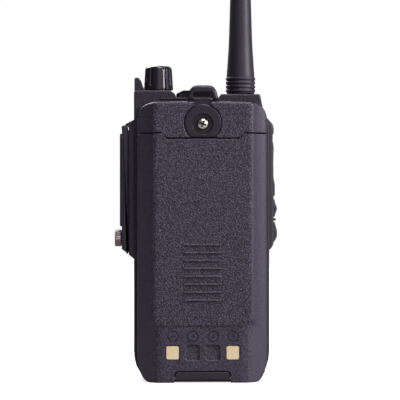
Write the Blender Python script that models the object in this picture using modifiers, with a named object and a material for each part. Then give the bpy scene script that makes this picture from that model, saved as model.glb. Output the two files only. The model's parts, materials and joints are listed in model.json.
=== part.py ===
"""Handheld aviation radio: front case, rear cover, battery pack, antenna, controls and what is inside.

Metres, +Z up.  The origin is the centre of the base.  The display faces -Y and the battery faces +Y.
"""

import math

import bmesh
import bpy
from mathutils import Matrix, Vector

OBJECT_NAME = "handheld_aviation_radio"

# ---------------------------------------------------------------- driving dimensions
GAP = 0.0003                       # clearance kept between pieces that touch
MERGE = 0.00001                    # distance for welding a turned profile's ends

CASE_HALF_WIDTH = 0.0304
CASE_FRONT = -0.0195
CASE_REAR = 0.0017
CASE_WALL = 0.0022
KNOB_DECK = 0.1297                 # top of the deck beside the volume knob
TORCH_DECK = 0.1266                # lower step that carries the torch
ANTENNA_DECK = 0.1281
CAVITY_HALF_WIDTH = 0.0253
CAVITY_TOP = 0.1244
LEDGE = -0.0031                    # step in the case on which the gasket lies

PACK_HALF_WIDTH = 0.02875
PACK_FRONT = CASE_REAR + GAP
PACK_BACK = 0.0190
CROWN_HALF_WIDTH = 0.0204
SEAM = 0.0005                      # visible line between battery and rear cover
SEAM_SIDE = 0.1100
SEAM_MIDDLE = 0.1077
COVER_TOP = 0.1241

CHASSIS_FRONT = -0.0015
CHASSIS_REAR = 0.0014
CHASSIS_HALF_WIDTH = 0.0271
BOARD_FRONT = -0.0052
BOARD_REAR = -0.0040
POST_X = 0.0215
POST_HEIGHTS = (0.0125, 0.1010)

KNOB_X, KNOB_Y = 0.0193, -0.0070
KNOB_BASE_RADIUS = 0.0064
KNOB_TOP_RADIUS = 0.0054
KNOB_LOW, KNOB_HIGH = 0.1301, 0.1409
ANTENNA_X, ANTENNA_Y = -0.0178, -0.0070
ANTENNA_LOW, ANTENNA_HIGH = 0.1285, 0.2800

LOOP_Z = 0.1148
LOOP_RADIUS = 0.0085
LOOP_NECK = 0.0036                 # half width of the neck that stands out of the seat
LOOP_SCREW_Z = 0.1140
LOOP_FRONT, LOOP_BACK = 0.0169, 0.0187

SIDE_Y = -0.0090                   # middle of the side panels
COVER_INNER, COVER_OUTER = 0.0330, 0.0359
COVER_HINGE_X, COVER_HINGE_Z = 0.0347, 0.1125
THUMBSCREW_Z = 0.0633
RUBBER_OUTER = -0.0316
POCKET_FLOOR = -0.0282

LATCH_HALF_WIDTH = 0.0121
LATCH_AXIS_Y, LATCH_AXIS_Z = 0.0174, 0.0019
CONTACT_X, CONTACT_Z = 0.01325, 0.01325

KEY_COLUMNS = (-0.0142, 0.0, 0.0142)
KEY_ROWS = (0.0550, 0.0454, 0.0358, 0.0262)
KEY_WIDTH, KEY_HEIGHT = 0.0112, 0.0066
FUNCTION_KEY_Z = 0.0648
KEY_FRONT, KEY_BACK = -0.0204, -0.0171
KEY_MARGIN = 0.00035
SPEAKER_Z = 0.1098
GRILLE_RADIUS, GRILLE_PITCH, GRILLE_SLOT = 0.0108, 0.0031, 0.0014
WINDOW_HALF_WIDTH, WINDOW_LOW, WINDOW_HIGH = 0.0185, 0.0740, 0.0930
MICROPHONE_Z = 0.0160

RIDGE_COUNT, RIDGE_PITCH, RIDGE_TOP_Z, RIDGE_HALF_WIDTH = 8, 0.00349, 0.0607, 0.0082
RIDGE_RISE, RIDGE_HALF_HEIGHT = 0.00045, 0.0006
SIDE_KEY_HALF_WIDTH, SIDE_KEY_INNER, SIDE_KEY_MARGIN = 0.0045, -0.0298, 0.0004
KNOB_FLUTES, KNOB_FLUTE_DEPTH = 12, 0.07
KNURLS, KNURL_DEPTH = 24, 0.05

# ---------------------------------------------------------------- finishes
FINISHES = {                       # colour, roughness, metallic
    "case_plastic": ((0.030, 0.029, 0.036), 0.55, 0.0),
    "pack_plastic": ((0.052, 0.049, 0.068), 0.60, 0.0),
    "gloss_plastic": ((0.018, 0.017, 0.022), 0.22, 0.0),
    "soft_rubber": ((0.032, 0.031, 0.036), 0.75, 0.0),
    "antenna_rubber": ((0.036, 0.034, 0.042), 0.55, 0.0),
    "gunmetal": ((0.150, 0.130, 0.120), 0.35, 1.0),
    "chrome_steel": ((0.640, 0.630, 0.640), 0.18, 1.0),
    "gold_plate": ((0.830, 0.660, 0.380), 0.30, 1.0),
    "cast_aluminium": ((0.520, 0.530, 0.540), 0.45, 1.0),
    "tinned_steel": ((0.600, 0.600, 0.590), 0.35, 1.0),
    "board_green": ((0.020, 0.130, 0.060), 0.45, 0.0),
    "window_clear": ((0.300, 0.320, 0.330), 0.08, 0.0),
    "display_glass": ((0.280, 0.330, 0.260), 0.30, 0.0),
    "cell_wrap": ((0.050, 0.120, 0.330), 0.40, 0.0),
    "key_rubber": ((0.060, 0.060, 0.065), 0.65, 0.0),
    "cone_paper": ((0.060, 0.055, 0.050), 0.85, 0.0),
    "copper_wire": ((0.720, 0.360, 0.220), 0.35, 1.0),
}


def clear_scene():
    """Removes whatever the scene holds."""
    for item in list(bpy.data.objects):
        bpy.data.objects.remove(item, do_unlink=True)


def new_collection(name):
    """A collection linked to the scene."""
    group = bpy.data.collections.new(name)
    bpy.context.scene.collection.children.link(group)
    return group


def make_material(name):
    """The named finish as a Principled material."""
    material = bpy.data.materials.get(name)
    if material is None:
        colour, roughness, metallic = FINISHES[name]
        material = bpy.data.materials.new(name)
        material.use_nodes = True
        shader = material.node_tree.nodes["Principled BSDF"]
        shader.inputs["Base Color"].default_value = (*colour, 1.0)
        shader.inputs["Roughness"].default_value = roughness
        shader.inputs["Metallic"].default_value = metallic
        material.diffuse_color = (*colour, 1.0)
    return material


clear_scene()
PARTS = new_collection(OBJECT_NAME)
CUTTERS = new_collection("cutters")


# ---------------------------------------------------------------- outlines
def arc(centre, radius, start, end, steps):
    """Points along an arc, its angles in degrees."""
    points = []
    for i in range(steps + 1):
        angle = math.radians(start + (end - start) * i / steps)
        points.append((centre[0] + radius * math.cos(angle), centre[1] + radius * math.sin(angle)))
    return points


def rounded_rectangle(low, high, radius, steps=3):
    """An outline from its two corners, with rounded corners."""
    corners = (
        ((high[0] - radius, high[1] - radius), 0),
        ((low[0] + radius, high[1] - radius), 90),
        ((low[0] + radius, low[1] + radius), 180),
        ((high[0] - radius, low[1] + radius), 270),
    )
    points = []
    for centre, start in corners:
        points += arc(centre, radius, start, start + 90, steps)
    return points


def mirrored(half):
    """A whole outline from the +X half, listed from its start on the middle line to its end there."""
    other = [(-x, v) for x, v in reversed(half) if x > MERGE]
    return half + other


# ---------------------------------------------------------------- solids in a bmesh
AXIS_PLACES = {                    # outline coordinates (u, v) and depth w as a point
    "X": lambda u, v, w: (w, u, v),
    "Y": lambda u, v, w: (u, w, v),
    "Z": lambda u, v, w: (u, v, w),
}


def prism(bm, outline, axis, low, high):
    """Adds an outline extruded along an axis, and returns its end face at high."""
    place = AXIS_PLACES[axis]
    corners = [bm.verts.new(place(u, v, low)) for u, v in outline]
    base = bm.faces.new(corners)
    step = Vector(place(0.0, 0.0, high - low))
    extruded = bmesh.ops.extrude_face_region(bm, geom=[base], use_keep_orig=True)
    moved = [item for item in extruded["geom"] if isinstance(item, bmesh.types.BMVert)]
    bmesh.ops.translate(bm, verts=moved, vec=step)
    return [item for item in extruded["geom"] if isinstance(item, bmesh.types.BMFace)][0]


def block(bm, low, high):
    """Adds a box from its two corners."""
    size = [high[i] - low[i] for i in range(3)]
    middle = [(high[i] + low[i]) / 2 for i in range(3)]
    matrix = Matrix.Translation(middle) @ Matrix.Diagonal((*size, 1.0))
    bmesh.ops.create_cube(bm, size=1.0, matrix=matrix)


def rod(bm, centre, axis, low, high, radius, top_radius=None, sides=16):
    """Adds a cylinder or cone: centre is its place across the axis, low and high its ends along it."""
    turn = {
        "X": Matrix.Rotation(math.radians(90), 4, "Y"),
        "Y": Matrix.Rotation(math.radians(-90), 4, "X"),
        "Z": Matrix.Identity(4),
    }[axis]
    place = Vector(AXIS_PLACES[axis](centre[0], centre[1], (low + high) / 2))
    made = bmesh.ops.create_cone(
        bm,
        cap_ends=True,
        segments=sides,
        radius1=radius,
        radius2=radius if top_radius is None else top_radius,
        depth=high - low,
        matrix=Matrix.Translation(place) @ turn,
    )
    return made["verts"]


def bevel_end(bm, face, width, segments):
    """Rounds the rim of an end face."""
    bmesh.ops.bevel(
        bm,
        geom=list(face.edges),
        offset=width,
        offset_type="OFFSET",
        segments=segments,
        profile=0.5,
        affect="EDGES",
    )


def finish_mesh(bm, name):
    """A mesh with outward faces from a bmesh."""
    bmesh.ops.recalc_face_normals(bm, faces=bm.faces[:])
    mesh = bpy.data.meshes.new(name)
    bm.to_mesh(mesh)
    bm.free()
    return mesh


def part(name, bm, finish):
    """A named piece of the radio from a bmesh."""
    item = bpy.data.objects.new(name, finish_mesh(bm, name))
    item.data.materials.append(make_material(finish))
    item.data.shade_smooth()
    item.data.set_sharp_from_angle(angle=math.radians(35))
    PARTS.objects.link(item)
    return item


def tool(name, bm):
    """A hidden solid that cuts or joins a piece."""
    item = bpy.data.objects.new(name, finish_mesh(bm, name))
    item.hide_render = True
    item.display_type = "WIRE"
    CUTTERS.objects.link(item)
    return item


def combine(target, operation, bm, name):
    """Applies a hidden solid to a piece: DIFFERENCE, UNION or INTERSECT."""
    modifier = target.modifiers.new(name, "BOOLEAN")
    modifier.operation = operation
    modifier.solver = "EXACT"
    modifier.object = tool(f"{target.name}_{name}", bm)


def turned(name, profile, place, axis, finish, steps=24):
    """A piece turned about an axis: the profile is (radius, height) pairs, down its outer side."""
    mesh = bpy.data.meshes.new(name)
    points = [(radius, 0.0, height) for radius, height in profile]
    edges = [(i, i + 1) for i in range(len(points) - 1)]
    mesh.from_pydata(points, edges, [])
    mesh.materials.append(make_material(finish))
    item = bpy.data.objects.new(name, mesh)
    PARTS.objects.link(item)
    item.location = place
    item.rotation_euler = {
        "X": (0.0, math.radians(90), 0.0),
        "Y": (math.radians(-90), 0.0, 0.0),
        "Z": (0.0, 0.0, 0.0),
    }[axis]
    screw = item.modifiers.new("turn", "SCREW")
    screw.axis = "Z"
    screw.steps = steps
    screw.render_steps = steps
    screw.use_merge_vertices = True
    screw.merge_threshold = MERGE
    screw.use_smooth_shade = True
    return item


def wire(name, points, thickness, finish):
    """A round wire along a list of points."""
    curve = bpy.data.curves.new(name, "CURVE")
    curve.dimensions = "3D"
    curve.bevel_depth = thickness / 2
    curve.bevel_resolution = 2
    curve.use_fill_caps = True
    spline = curve.splines.new("POLY")
    spline.points.add(len(points) - 1)
    for point, place in zip(spline.points, points):
        point.co = (*place, 1.0)
    curve.materials.append(make_material(finish))
    item = bpy.data.objects.new(name, curve)
    PARTS.objects.link(item)
    return item


def pivot(name, place, *pieces):
    """An empty on a joint's axis that carries the pieces that move with it."""
    empty = bpy.data.objects.new(name, None)
    empty.location = place
    empty.empty_display_size = 0.01
    PARTS.objects.link(empty)
    for piece in pieces:
        piece.parent = empty
        piece.matrix_parent_inverse = Matrix.Translation(place).inverted()
    return empty


def nest(inner, outer):
    """Puts one empty under another without moving it."""
    inner.parent = outer
    inner.matrix_parent_inverse = Matrix.Translation(outer.location).inverted()


# ---------------------------------------------------------------- front case
def case_outline():
    """The front case seen along Y: steps in the deck, a shoulder above the side keys."""
    edge = CASE_HALF_WIDTH
    return [
        (0.0240, 0.0), (0.0265, 0.0013), (0.0285, 0.0050), (0.0297, 0.0085), (edge, 0.0130),
        (edge, KNOB_DECK - 0.0008), (0.0296, KNOB_DECK),
        (0.0130, KNOB_DECK), (0.0123, KNOB_DECK - 0.0007), (0.0122, TORCH_DECK),
        (-0.0077, TORCH_DECK), (-0.0085, ANTENNA_DECK),
        (-0.0259, ANTENNA_DECK), (-0.0268, ANTENNA_DECK - 0.0009),
        (-0.0276, 0.1208), (-0.0292, 0.1170), (-0.0301, 0.1145), (-edge, 0.1120),
        (-edge, 0.0130), (-0.0297, 0.0085), (-0.0285, 0.0050), (-0.0265, 0.0013), (-0.0240, 0.0),
    ]


def inner_outline(inset):
    """The chassis outline seen along Y, pulled in by an inset; the gasket and its seat follow it."""
    edge, low, high = CHASSIS_HALF_WIDTH - inset, 0.0021 + inset, 0.1235 - inset
    return mirrored([
        (0.0, low), (0.0200 - inset / 2, low), (edge - 0.0016, 0.0085 + inset / 2),
        (edge, 0.0120), (edge, 0.1120), (edge - 0.0030, high), (0.0, high),
    ])


def front_case():
    """The tray that holds everything, with its deck, guard fin, pockets and openings."""
    bm = bmesh.new()
    rear = prism(bm, case_outline(), "Y", CASE_REAR, CASE_FRONT)
    bevel_end(bm, rear, 0.0026, 2)
    case = part("front_case", bm, "case_plastic")

    fin = bmesh.new()
    edge = CASE_HALF_WIDTH
    fin_outline = [
        (edge - 0.0002, 0.1250), (edge - 0.0002, 0.1345), *arc((0.0290, 0.1345), 0.0012, 0, 90, 3),
        (0.0280, 0.1351), (0.0272, 0.1335), (0.0267, 0.1314), (0.0261, 0.1303),
        (0.0250, 0.1295), (0.0250, 0.1250),
    ]
    prism(fin, fin_outline, "Y", -0.0150, 0.0004)
    combine(case, "UNION", fin, "guard_fin")

    hollow = bmesh.new()
    cavity = rounded_rectangle((-CAVITY_HALF_WIDTH, 0.0030), (CAVITY_HALF_WIDTH, CAVITY_TOP), 0.0050, 2)
    prism(hollow, cavity, "Y", CASE_FRONT + CASE_WALL, LEDGE + 0.0005)
    combine(case, "DIFFERENCE", hollow, "cavity")
    seat = bmesh.new()
    prism(seat, inner_outline(-GAP), "Y", LEDGE, CASE_REAR + 0.001)
    combine(case, "DIFFERENCE", seat, "chassis_seat")

    posts = bmesh.new()
    for side in (-1, 1):
        for height in POST_HEIGHTS:
            centre = (side * POST_X, height)
            rod(posts, centre, "Y", CASE_FRONT + 0.001, CHASSIS_FRONT - 0.0004, 0.0028, sides=12)
    combine(case, "UNION", posts, "screw_posts")
    cut_front_wall(case)
    cut_sides(case)
    cut_deck(case)


def cut_front_wall(case):
    """Window, key holes, grille slots, microphone hole and the screw holes in the posts."""
    wall_low, wall_high = CASE_FRONT - 0.001, CASE_FRONT + CASE_WALL + 0.0005
    recess = bmesh.new()
    prism(recess, rounded_rectangle((-0.0220, 0.0710), (0.0220, 0.0960), 0.0023), "Y", wall_low, -0.0181)
    combine(case, "DIFFERENCE", recess, "lens_recess")
    holes = bmesh.new()
    window = rounded_rectangle((-WINDOW_HALF_WIDTH, WINDOW_LOW), (WINDOW_HALF_WIDTH, WINDOW_HIGH), 0.0010, 1)
    prism(holes, window, "Y", wall_low, wall_high)
    for low, high in key_places().values():
        corner_low = (low[0] - KEY_MARGIN, low[1] - KEY_MARGIN)
        corner_high = (high[0] + KEY_MARGIN, high[1] + KEY_MARGIN)
        prism(holes, rounded_rectangle(corner_low, corner_high, 0.0015, 2), "Y", wall_low, wall_high)
    for row in range(-3, 4):
        half = math.sqrt(GRILLE_RADIUS ** 2 - (row * GRILLE_PITCH) ** 2)
        low = SPEAKER_Z + row * GRILLE_PITCH - GRILLE_SLOT / 2
        slot = rounded_rectangle((-half, low), (half, low + GRILLE_SLOT), 0.00065, 2)
        prism(holes, slot, "Y", wall_low, wall_high)
    rod(holes, (0.0, MICROPHONE_Z), "Y", wall_low, wall_high, 0.0007, sides=8)
    for side in (-1, 1):
        for height in POST_HEIGHTS:
            rod(holes, (side * POST_X, height), "Y", -0.0120, 0.0, 0.0012, sides=8)
    combine(case, "DIFFERENCE", holes, "front_holes")


def cut_sides(case):
    """The pocket for the side keys, and the threaded hole for the thumbscrew."""
    cuts = bmesh.new()
    block(cuts, (-0.0330, SIDE_Y - 0.0069, 0.0569), (POCKET_FLOOR, SIDE_Y + 0.0069, 0.1185))
    rod(cuts, (SIDE_Y, THUMBSCREW_Z), "X", 0.0270, 0.0320, 0.0016, sides=12)
    combine(case, "DIFFERENCE", cuts, "side_pocket")


def cut_deck(case):
    """Holes for the volume control, the antenna socket and the torch."""
    cuts = bmesh.new()
    rod(cuts, (KNOB_X, KNOB_Y), "Z", 0.1230, 0.1320, 0.0035)
    rod(cuts, (ANTENNA_X, ANTENNA_Y), "Z", 0.1230, 0.1320, 0.0043)
    rod(cuts, (0.0062, -0.0055), "Z", 0.1230, 0.1300, 0.0026, sides=12)
    combine(case, "DIFFERENCE", cuts, "deck_holes")


# ---------------------------------------------------------------- structure and electronics
def chassis():
    """Cast frame behind the board, its screws, the gasket under it and the battery terminals."""
    bm = bmesh.new()
    prism(bm, inner_outline(0.0), "Y", CHASSIS_FRONT, CHASSIS_REAR)
    frame = part("chassis_frame", bm, "cast_aluminium")
    holes = bmesh.new()
    prism(holes, rounded_rectangle((-0.0083, 0.0217), (0.0083, 0.0283), 0.0010, 1), "Y", -0.0030, 0.0030)
    for side in (-1, 1):
        for height in POST_HEIGHTS:
            rod(holes, (side * POST_X, height), "Y", -0.0030, 0.0030, 0.0013, sides=12)
    combine(frame, "DIFFERENCE", holes, "through_holes")
    sinks = bmesh.new()
    for side in (-1, 1):
        for height in POST_HEIGHTS:
            rod(sinks, (side * POST_X, height), "Y", -0.0001, 0.0030, 0.0025, sides=16)
    combine(frame, "DIFFERENCE", sinks, "screw_sinks")

    head = [
        (0.0, 0.00125), (0.0016, 0.00125), (0.0021, 0.0008), (0.0021, 0.0002), (0.0009, 0.0002),
        (0.0009, -0.0085), (0.0, -0.0090),
    ]
    places = [(side * POST_X, 0.0, height) for height in POST_HEIGHTS for side in (-1, 1)]
    for number, place in enumerate(places, start=1):
        turned(f"chassis_screw_{number}", head, place, "Y", "chrome_steel", steps=12)

    ring = bmesh.new()
    prism(ring, inner_outline(0.0), "Y", LEDGE + GAP, CHASSIS_FRONT - GAP)
    gasket = part("case_gasket", ring, "soft_rubber")
    middle = bmesh.new()
    prism(middle, inner_outline(0.0014), "Y", -0.0040, 0.0)
    combine(gasket, "DIFFERENCE", middle, "middle")

    terminals = bmesh.new()
    prism(terminals, rounded_rectangle((-0.0080, 0.0220), (0.0080, 0.0280), 0.0010, 1), "Y", -0.0012, 0.0016)
    part("battery_terminal_block", terminals, "gold_plate")


def electronics():
    """Main board with its chips, shield can, display, keypad mat, speaker, microphone and torch."""
    outline = mirrored([
        (0.0, 0.0160), (0.0248, 0.0160), (0.0248, 0.0976), (0.0187, 0.0976), (0.0187, 0.1044),
        (0.0248, 0.1044), (0.0248, 0.1170), (0.0, 0.1170),
    ])
    bm = bmesh.new()
    prism(bm, outline, "Y", BOARD_FRONT, BOARD_REAR)
    board = part("main_board", bm, "board_green")
    chips = bmesh.new()
    chip_places = (
        (-0.010, 0.040, 0.0055), (0.011, 0.062, 0.0042), (-0.004, 0.085, 0.0035), (0.013, 0.026, 0.0030),
    )
    for x, z, half in chip_places:
        block(chips, (x - half, BOARD_FRONT - 0.0016, z - half), (x + half, BOARD_FRONT + 0.0005, z + half))
    combine(board, "UNION", chips, "chips")

    can = bmesh.new()
    can_face = rounded_rectangle((-0.0180, 0.0520), (0.0180, 0.0920), 0.0012, 2)
    prism(can, can_face, "Y", BOARD_REAR + GAP, -0.0018)
    shield = part("rf_shield", can, "tinned_steel")
    inside = bmesh.new()
    block(inside, (-0.0175, -0.0050, 0.0525), (0.0175, -0.0022, 0.0915))
    combine(shield, "DIFFERENCE", inside, "inside")

    bm = bmesh.new()
    block(bm, (-0.0200, -0.0170, 0.0722), (0.0200, -0.0132, 0.0945))
    part("display_module", bm, "display_glass")
    bm = bmesh.new()
    front = prism(bm, rounded_rectangle((-0.0217, 0.0713), (0.0217, 0.0957), 0.0020), "Y", -0.0184, -0.0198)
    bevel_end(bm, front, 0.0004, 1)
    part("display_lens", bm, "window_clear")
    bm = bmesh.new()
    prism(bm, rounded_rectangle((-0.0225, 0.0200), (0.0225, 0.0702), 0.0015, 1), "Y", -0.0164, -0.0152)
    part("keypad_mat", bm, "key_rubber")

    basket = [
        (0.0, 0.0067), (0.0062, 0.0067), (0.0070, 0.0060), (0.0070, 0.0030), (0.0115, 0.0012),
        (0.0125, 0.0010), (0.0125, 0.0), (0.0110, 0.0), (0.0060, 0.0016), (0.0040, 0.0010), (0.0, 0.0008),
    ]
    turned("speaker", basket, (0.0, -0.0162, SPEAKER_Z), "Y", "cone_paper")
    sheet = [(0.0, 0.0004), (0.0122, 0.0004), (0.0122, 0.0), (0.0, 0.0)]
    turned("speaker_membrane", sheet, (0.0, -0.0169, SPEAKER_Z), "Y", "soft_rubber")
    capsule = [(0.0, 0.0022), (0.0027, 0.0022), (0.0030, 0.0019), (0.0030, 0.0), (0.0, 0.0)]
    turned("microphone", capsule, (0.0, -0.0168, MICROPHONE_Z), "Y", "tinned_steel", steps=16)

    torch = bmesh.new()
    lens = [(-0.0050, TORCH_DECK + GAP), (0.0118, TORCH_DECK + GAP), (0.0118, 0.1275), (0.0108, 0.1292),
            (0.0100, 0.1296), (-0.0042, 0.1296), (-0.0050, 0.1288)]
    prism(torch, lens, "Y", -0.0120, 0.0010)
    part("torch_lens", torch, "gloss_plastic")
    lamp = [
        (0.0, 0.1265), (0.0012, 0.1263), (0.0021, 0.1256), (0.0023, 0.1248), (0.0023, 0.1236), (0.0, 0.1236),
    ]
    turned("torch_led", lamp, (0.0062, -0.0055, 0.0), "Z", "window_clear", steps=16)


# ---------------------------------------------------------------- rear cover and strap loop
def pack_profile():
    """The battery and rear cover seen along Z: sides, rounded rim, cove and raised crown."""
    edge = PACK_HALF_WIDTH
    return mirrored([
        (0.0, PACK_FRONT), (edge, PACK_FRONT), (edge, 0.0112),
        *arc((edge - 0.0026, 0.0116), 0.0026, 5, 75, 3),
        (0.0256, 0.0150), (0.0240, 0.0164), (0.0226, 0.0180), (0.0217, 0.0187),
        (CROWN_HALF_WIDTH, PACK_BACK), (0.0, PACK_BACK),
    ])


def rear_cover():
    """Upper rear shell with the round seat for the strap loop."""
    bm = bmesh.new()
    prism(bm, pack_profile(), "Z", 0.1050, 0.1260)
    cover = part("rear_cover", bm, "pack_plastic")
    low_side, low_middle = SEAM_SIDE + SEAM / 2, SEAM_MIDDLE + SEAM / 2
    face = mirrored([
        (0.0, low_middle), (0.0165, low_middle), (0.0182, low_side), (0.0300, low_side),
        (0.0289, 0.1176), (0.0283, 0.1192), (0.0268, 0.1217), (0.0252, 0.1229), (0.0210, 0.1236),
        (0.0110, 0.1239), (0.0, COVER_TOP),
    ])
    shape = bmesh.new()
    prism(shape, face, "Y", -0.0100, 0.0300)
    combine(cover, "INTERSECT", shape, "face_shape")
    hollow = bmesh.new()
    prism(hollow, rounded_rectangle((-0.0262, 0.1120), (0.0262, 0.1216), 0.0020, 1), "Y", 0.0, 0.0112)
    combine(cover, "DIFFERENCE", hollow, "hollow")
    seat = bmesh.new()
    prism(seat, loop_outline(GAP, 58, 0.1260), "Y", 0.0166, 0.0200)
    combine(cover, "DIFFERENCE", seat, "loop_seat")
    hole = bmesh.new()
    rod(hole, (0.0, LOOP_SCREW_Z), "Y", 0.0090, 0.0180, 0.0016, sides=12)
    combine(cover, "DIFFERENCE", hole, "screw_hole")


def loop_outline(margin, foot_angle, top):
    """The loop's round plate, cut off flat at its foot, with its neck, grown by a margin."""
    radius, half = LOOP_RADIUS + margin, LOOP_NECK + margin
    neck_angle = math.degrees(math.acos(half / radius))
    return [
        *arc((0.0, LOOP_Z), radius, -foot_angle, neck_angle, 9), (half, top), (-half, top),
        *arc((0.0, LOOP_Z), radius, 180 - neck_angle, 180 + foot_angle, 9),
    ]


def strap_loop():
    """Round plate with a standing arch for a strap, and its screw."""
    bm = bmesh.new()
    prism(bm, loop_outline(0.0, 49, 0.1250), "Y", LOOP_FRONT, LOOP_BACK)
    loop = part("strap_loop", bm, "gloss_plastic")
    arch = bmesh.new()
    half = [(0.0, 0.1311), (0.0028, 0.1311), *arc((0.0028, 0.1277), 0.0034, 75, 10, 3), (0.0070, 0.1262),
            (0.0075, 0.1252), (0.0076, 0.1244), (0.0, 0.1244)]
    prism(arch, mirrored(half), "Y", 0.0146, LOOP_BACK + 0.0003)
    combine(loop, "UNION", arch, "arch")
    slot = bmesh.new()
    prism(slot, rounded_rectangle((-0.0044, 0.1254), (0.0044, 0.1279), 0.0009, 2), "Y", 0.0130, 0.0210)
    combine(loop, "DIFFERENCE", slot, "strap_slot")
    sink = bmesh.new()
    rod(sink, (0.0, LOOP_SCREW_Z), "Y", 0.0178, 0.0200, 0.0045, sides=20)
    combine(loop, "DIFFERENCE", sink, "screw_sink")
    hole = bmesh.new()
    rod(hole, (0.0, LOOP_SCREW_Z), "Y", 0.0150, 0.0200, 0.0016, sides=12)
    combine(loop, "DIFFERENCE", hole, "screw_hole")
    head = [
        (0.0, 0.0019), (0.0012, 0.00175), (0.0021, 0.0012), (0.00255, 0.0004), (0.00255, 0.0),
        (0.0012, 0.0), (0.0012, -0.0060), (0.0, -0.0064),
    ]
    turned("strap_loop_screw", head, (0.0, 0.0178 + GAP, LOOP_SCREW_Z), "Y", "chrome_steel", steps=16)


# ---------------------------------------------------------------- battery pack
def battery():
    """Pack shell, inner cover, cells, protection board, charge contacts and the latch's pin and spring."""
    bm = bmesh.new()
    prism(bm, pack_profile(), "Z", 0.0, 0.1120)
    shell = part("battery_shell", bm, "pack_plastic")
    high_side, high_middle = SEAM_SIDE - SEAM / 2, SEAM_MIDDLE - SEAM / 2
    face = mirrored([
        (0.0, 0.0), (0.0240, 0.0), (0.0252, 0.0005), (0.0263, 0.0018), (0.0279, 0.0048), (0.0285, 0.0076),
        (0.0287, 0.0105), (0.0300, 0.0900), (0.0300, high_side), (0.0180, high_side), (0.0163, high_middle),
        (0.0, high_middle),
    ])
    shape = bmesh.new()
    prism(shape, face, "Y", -0.0100, 0.0300)
    combine(shell, "INTERSECT", shape, "face_shape")
    hollow = bmesh.new()
    room = mirrored([(0.0, 0.0), (0.0265, 0.0), (0.0265, 0.0112), (0.0210, 0.0168), (0.0, 0.0168)])
    prism(hollow, room, "Z", 0.0076, 0.1052)
    combine(shell, "DIFFERENCE", hollow, "hollow")
    cut_pack_back(shell)

    bm = bmesh.new()
    block(bm, (-0.0262, PACK_FRONT, 0.0079), (0.0262, 0.0036, 0.1049))
    lid = part("battery_inner_cover", bm, "case_plastic")
    pads = bmesh.new()
    for x in (-0.0055, 0.0, 0.0055):
        block(pads, (x - 0.0018, 0.0010, 0.0225), (x + 0.0018, PACK_FRONT + 0.0004, 0.0275))
    combine(lid, "DIFFERENCE", pads, "terminal_pads")
    inside = [lid]
    for number, side in ((1, -1), (2, 1)):
        cell = bmesh.new()
        near, far = sorted((side * 0.0008, side * 0.0252))
        front = prism(cell, rounded_rectangle((near, 0.0041), (far, 0.0123), 0.0022), "Z", 0.0240, 0.0960)
        bevel_end(cell, front, 0.0006, 1)
        inside.append(part(f"battery_cell_{number}", cell, "cell_wrap"))
    bm = bmesh.new()
    block(bm, (-0.0200, 0.0136, 0.0090), (0.0200, 0.0147, 0.0210))
    inside.append(part("protection_board", bm, "board_green"))
    for name, x in (("minus", CONTACT_X), ("plus", -CONTACT_X)):
        bm = bmesh.new()
        low, high = (x - 0.00285, CONTACT_Z - 0.00305), (x + 0.00285, CONTACT_Z + 0.00305)
        prism(bm, rounded_rectangle(low, high, 0.0006, 2), "Y", 0.0150, 0.0187)
        inside.append(part(f"charge_contact_{name}", bm, "gold_plate"))

    bm = bmesh.new()
    rod(bm, (LATCH_AXIS_Y, LATCH_AXIS_Z), "X", -0.0138, 0.0138, 0.0006, sides=12)
    inside.append(part("latch_pin", bm, "chrome_steel"))
    turns, steps_per_turn, coil_radius, pitch = 4, 8, 0.0009, 0.0012
    coil = []
    for i in range(turns * steps_per_turn + 1):
        angle = 2 * math.pi * i / steps_per_turn
        x = pitch * (i / steps_per_turn - turns / 2)
        y = LATCH_AXIS_Y + coil_radius * math.cos(angle)
        coil.append((x, y, LATCH_AXIS_Z + coil_radius * math.sin(angle)))
    inside.append(wire("latch_spring", coil, 0.0003, "chrome_steel"))
    slide = pivot("battery_slide", (0.0, PACK_FRONT, 0.0), shell, *inside)
    latch_axis = pivot("latch_axis", (0.0, LATCH_AXIS_Y, LATCH_AXIS_Z), battery_latch())
    nest(latch_axis, slide)


def latch_outline(half, top, corner):
    """The latch seen along Y, open at its foot: its half width, its top edge and its corner radius."""
    return [
        (half, -0.0010), *arc((half - corner, top - corner), corner, 0, 90, 3),
        *arc((corner - half, top - corner), corner, 90, 180, 3), (-half, -0.0010),
    ]


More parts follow.
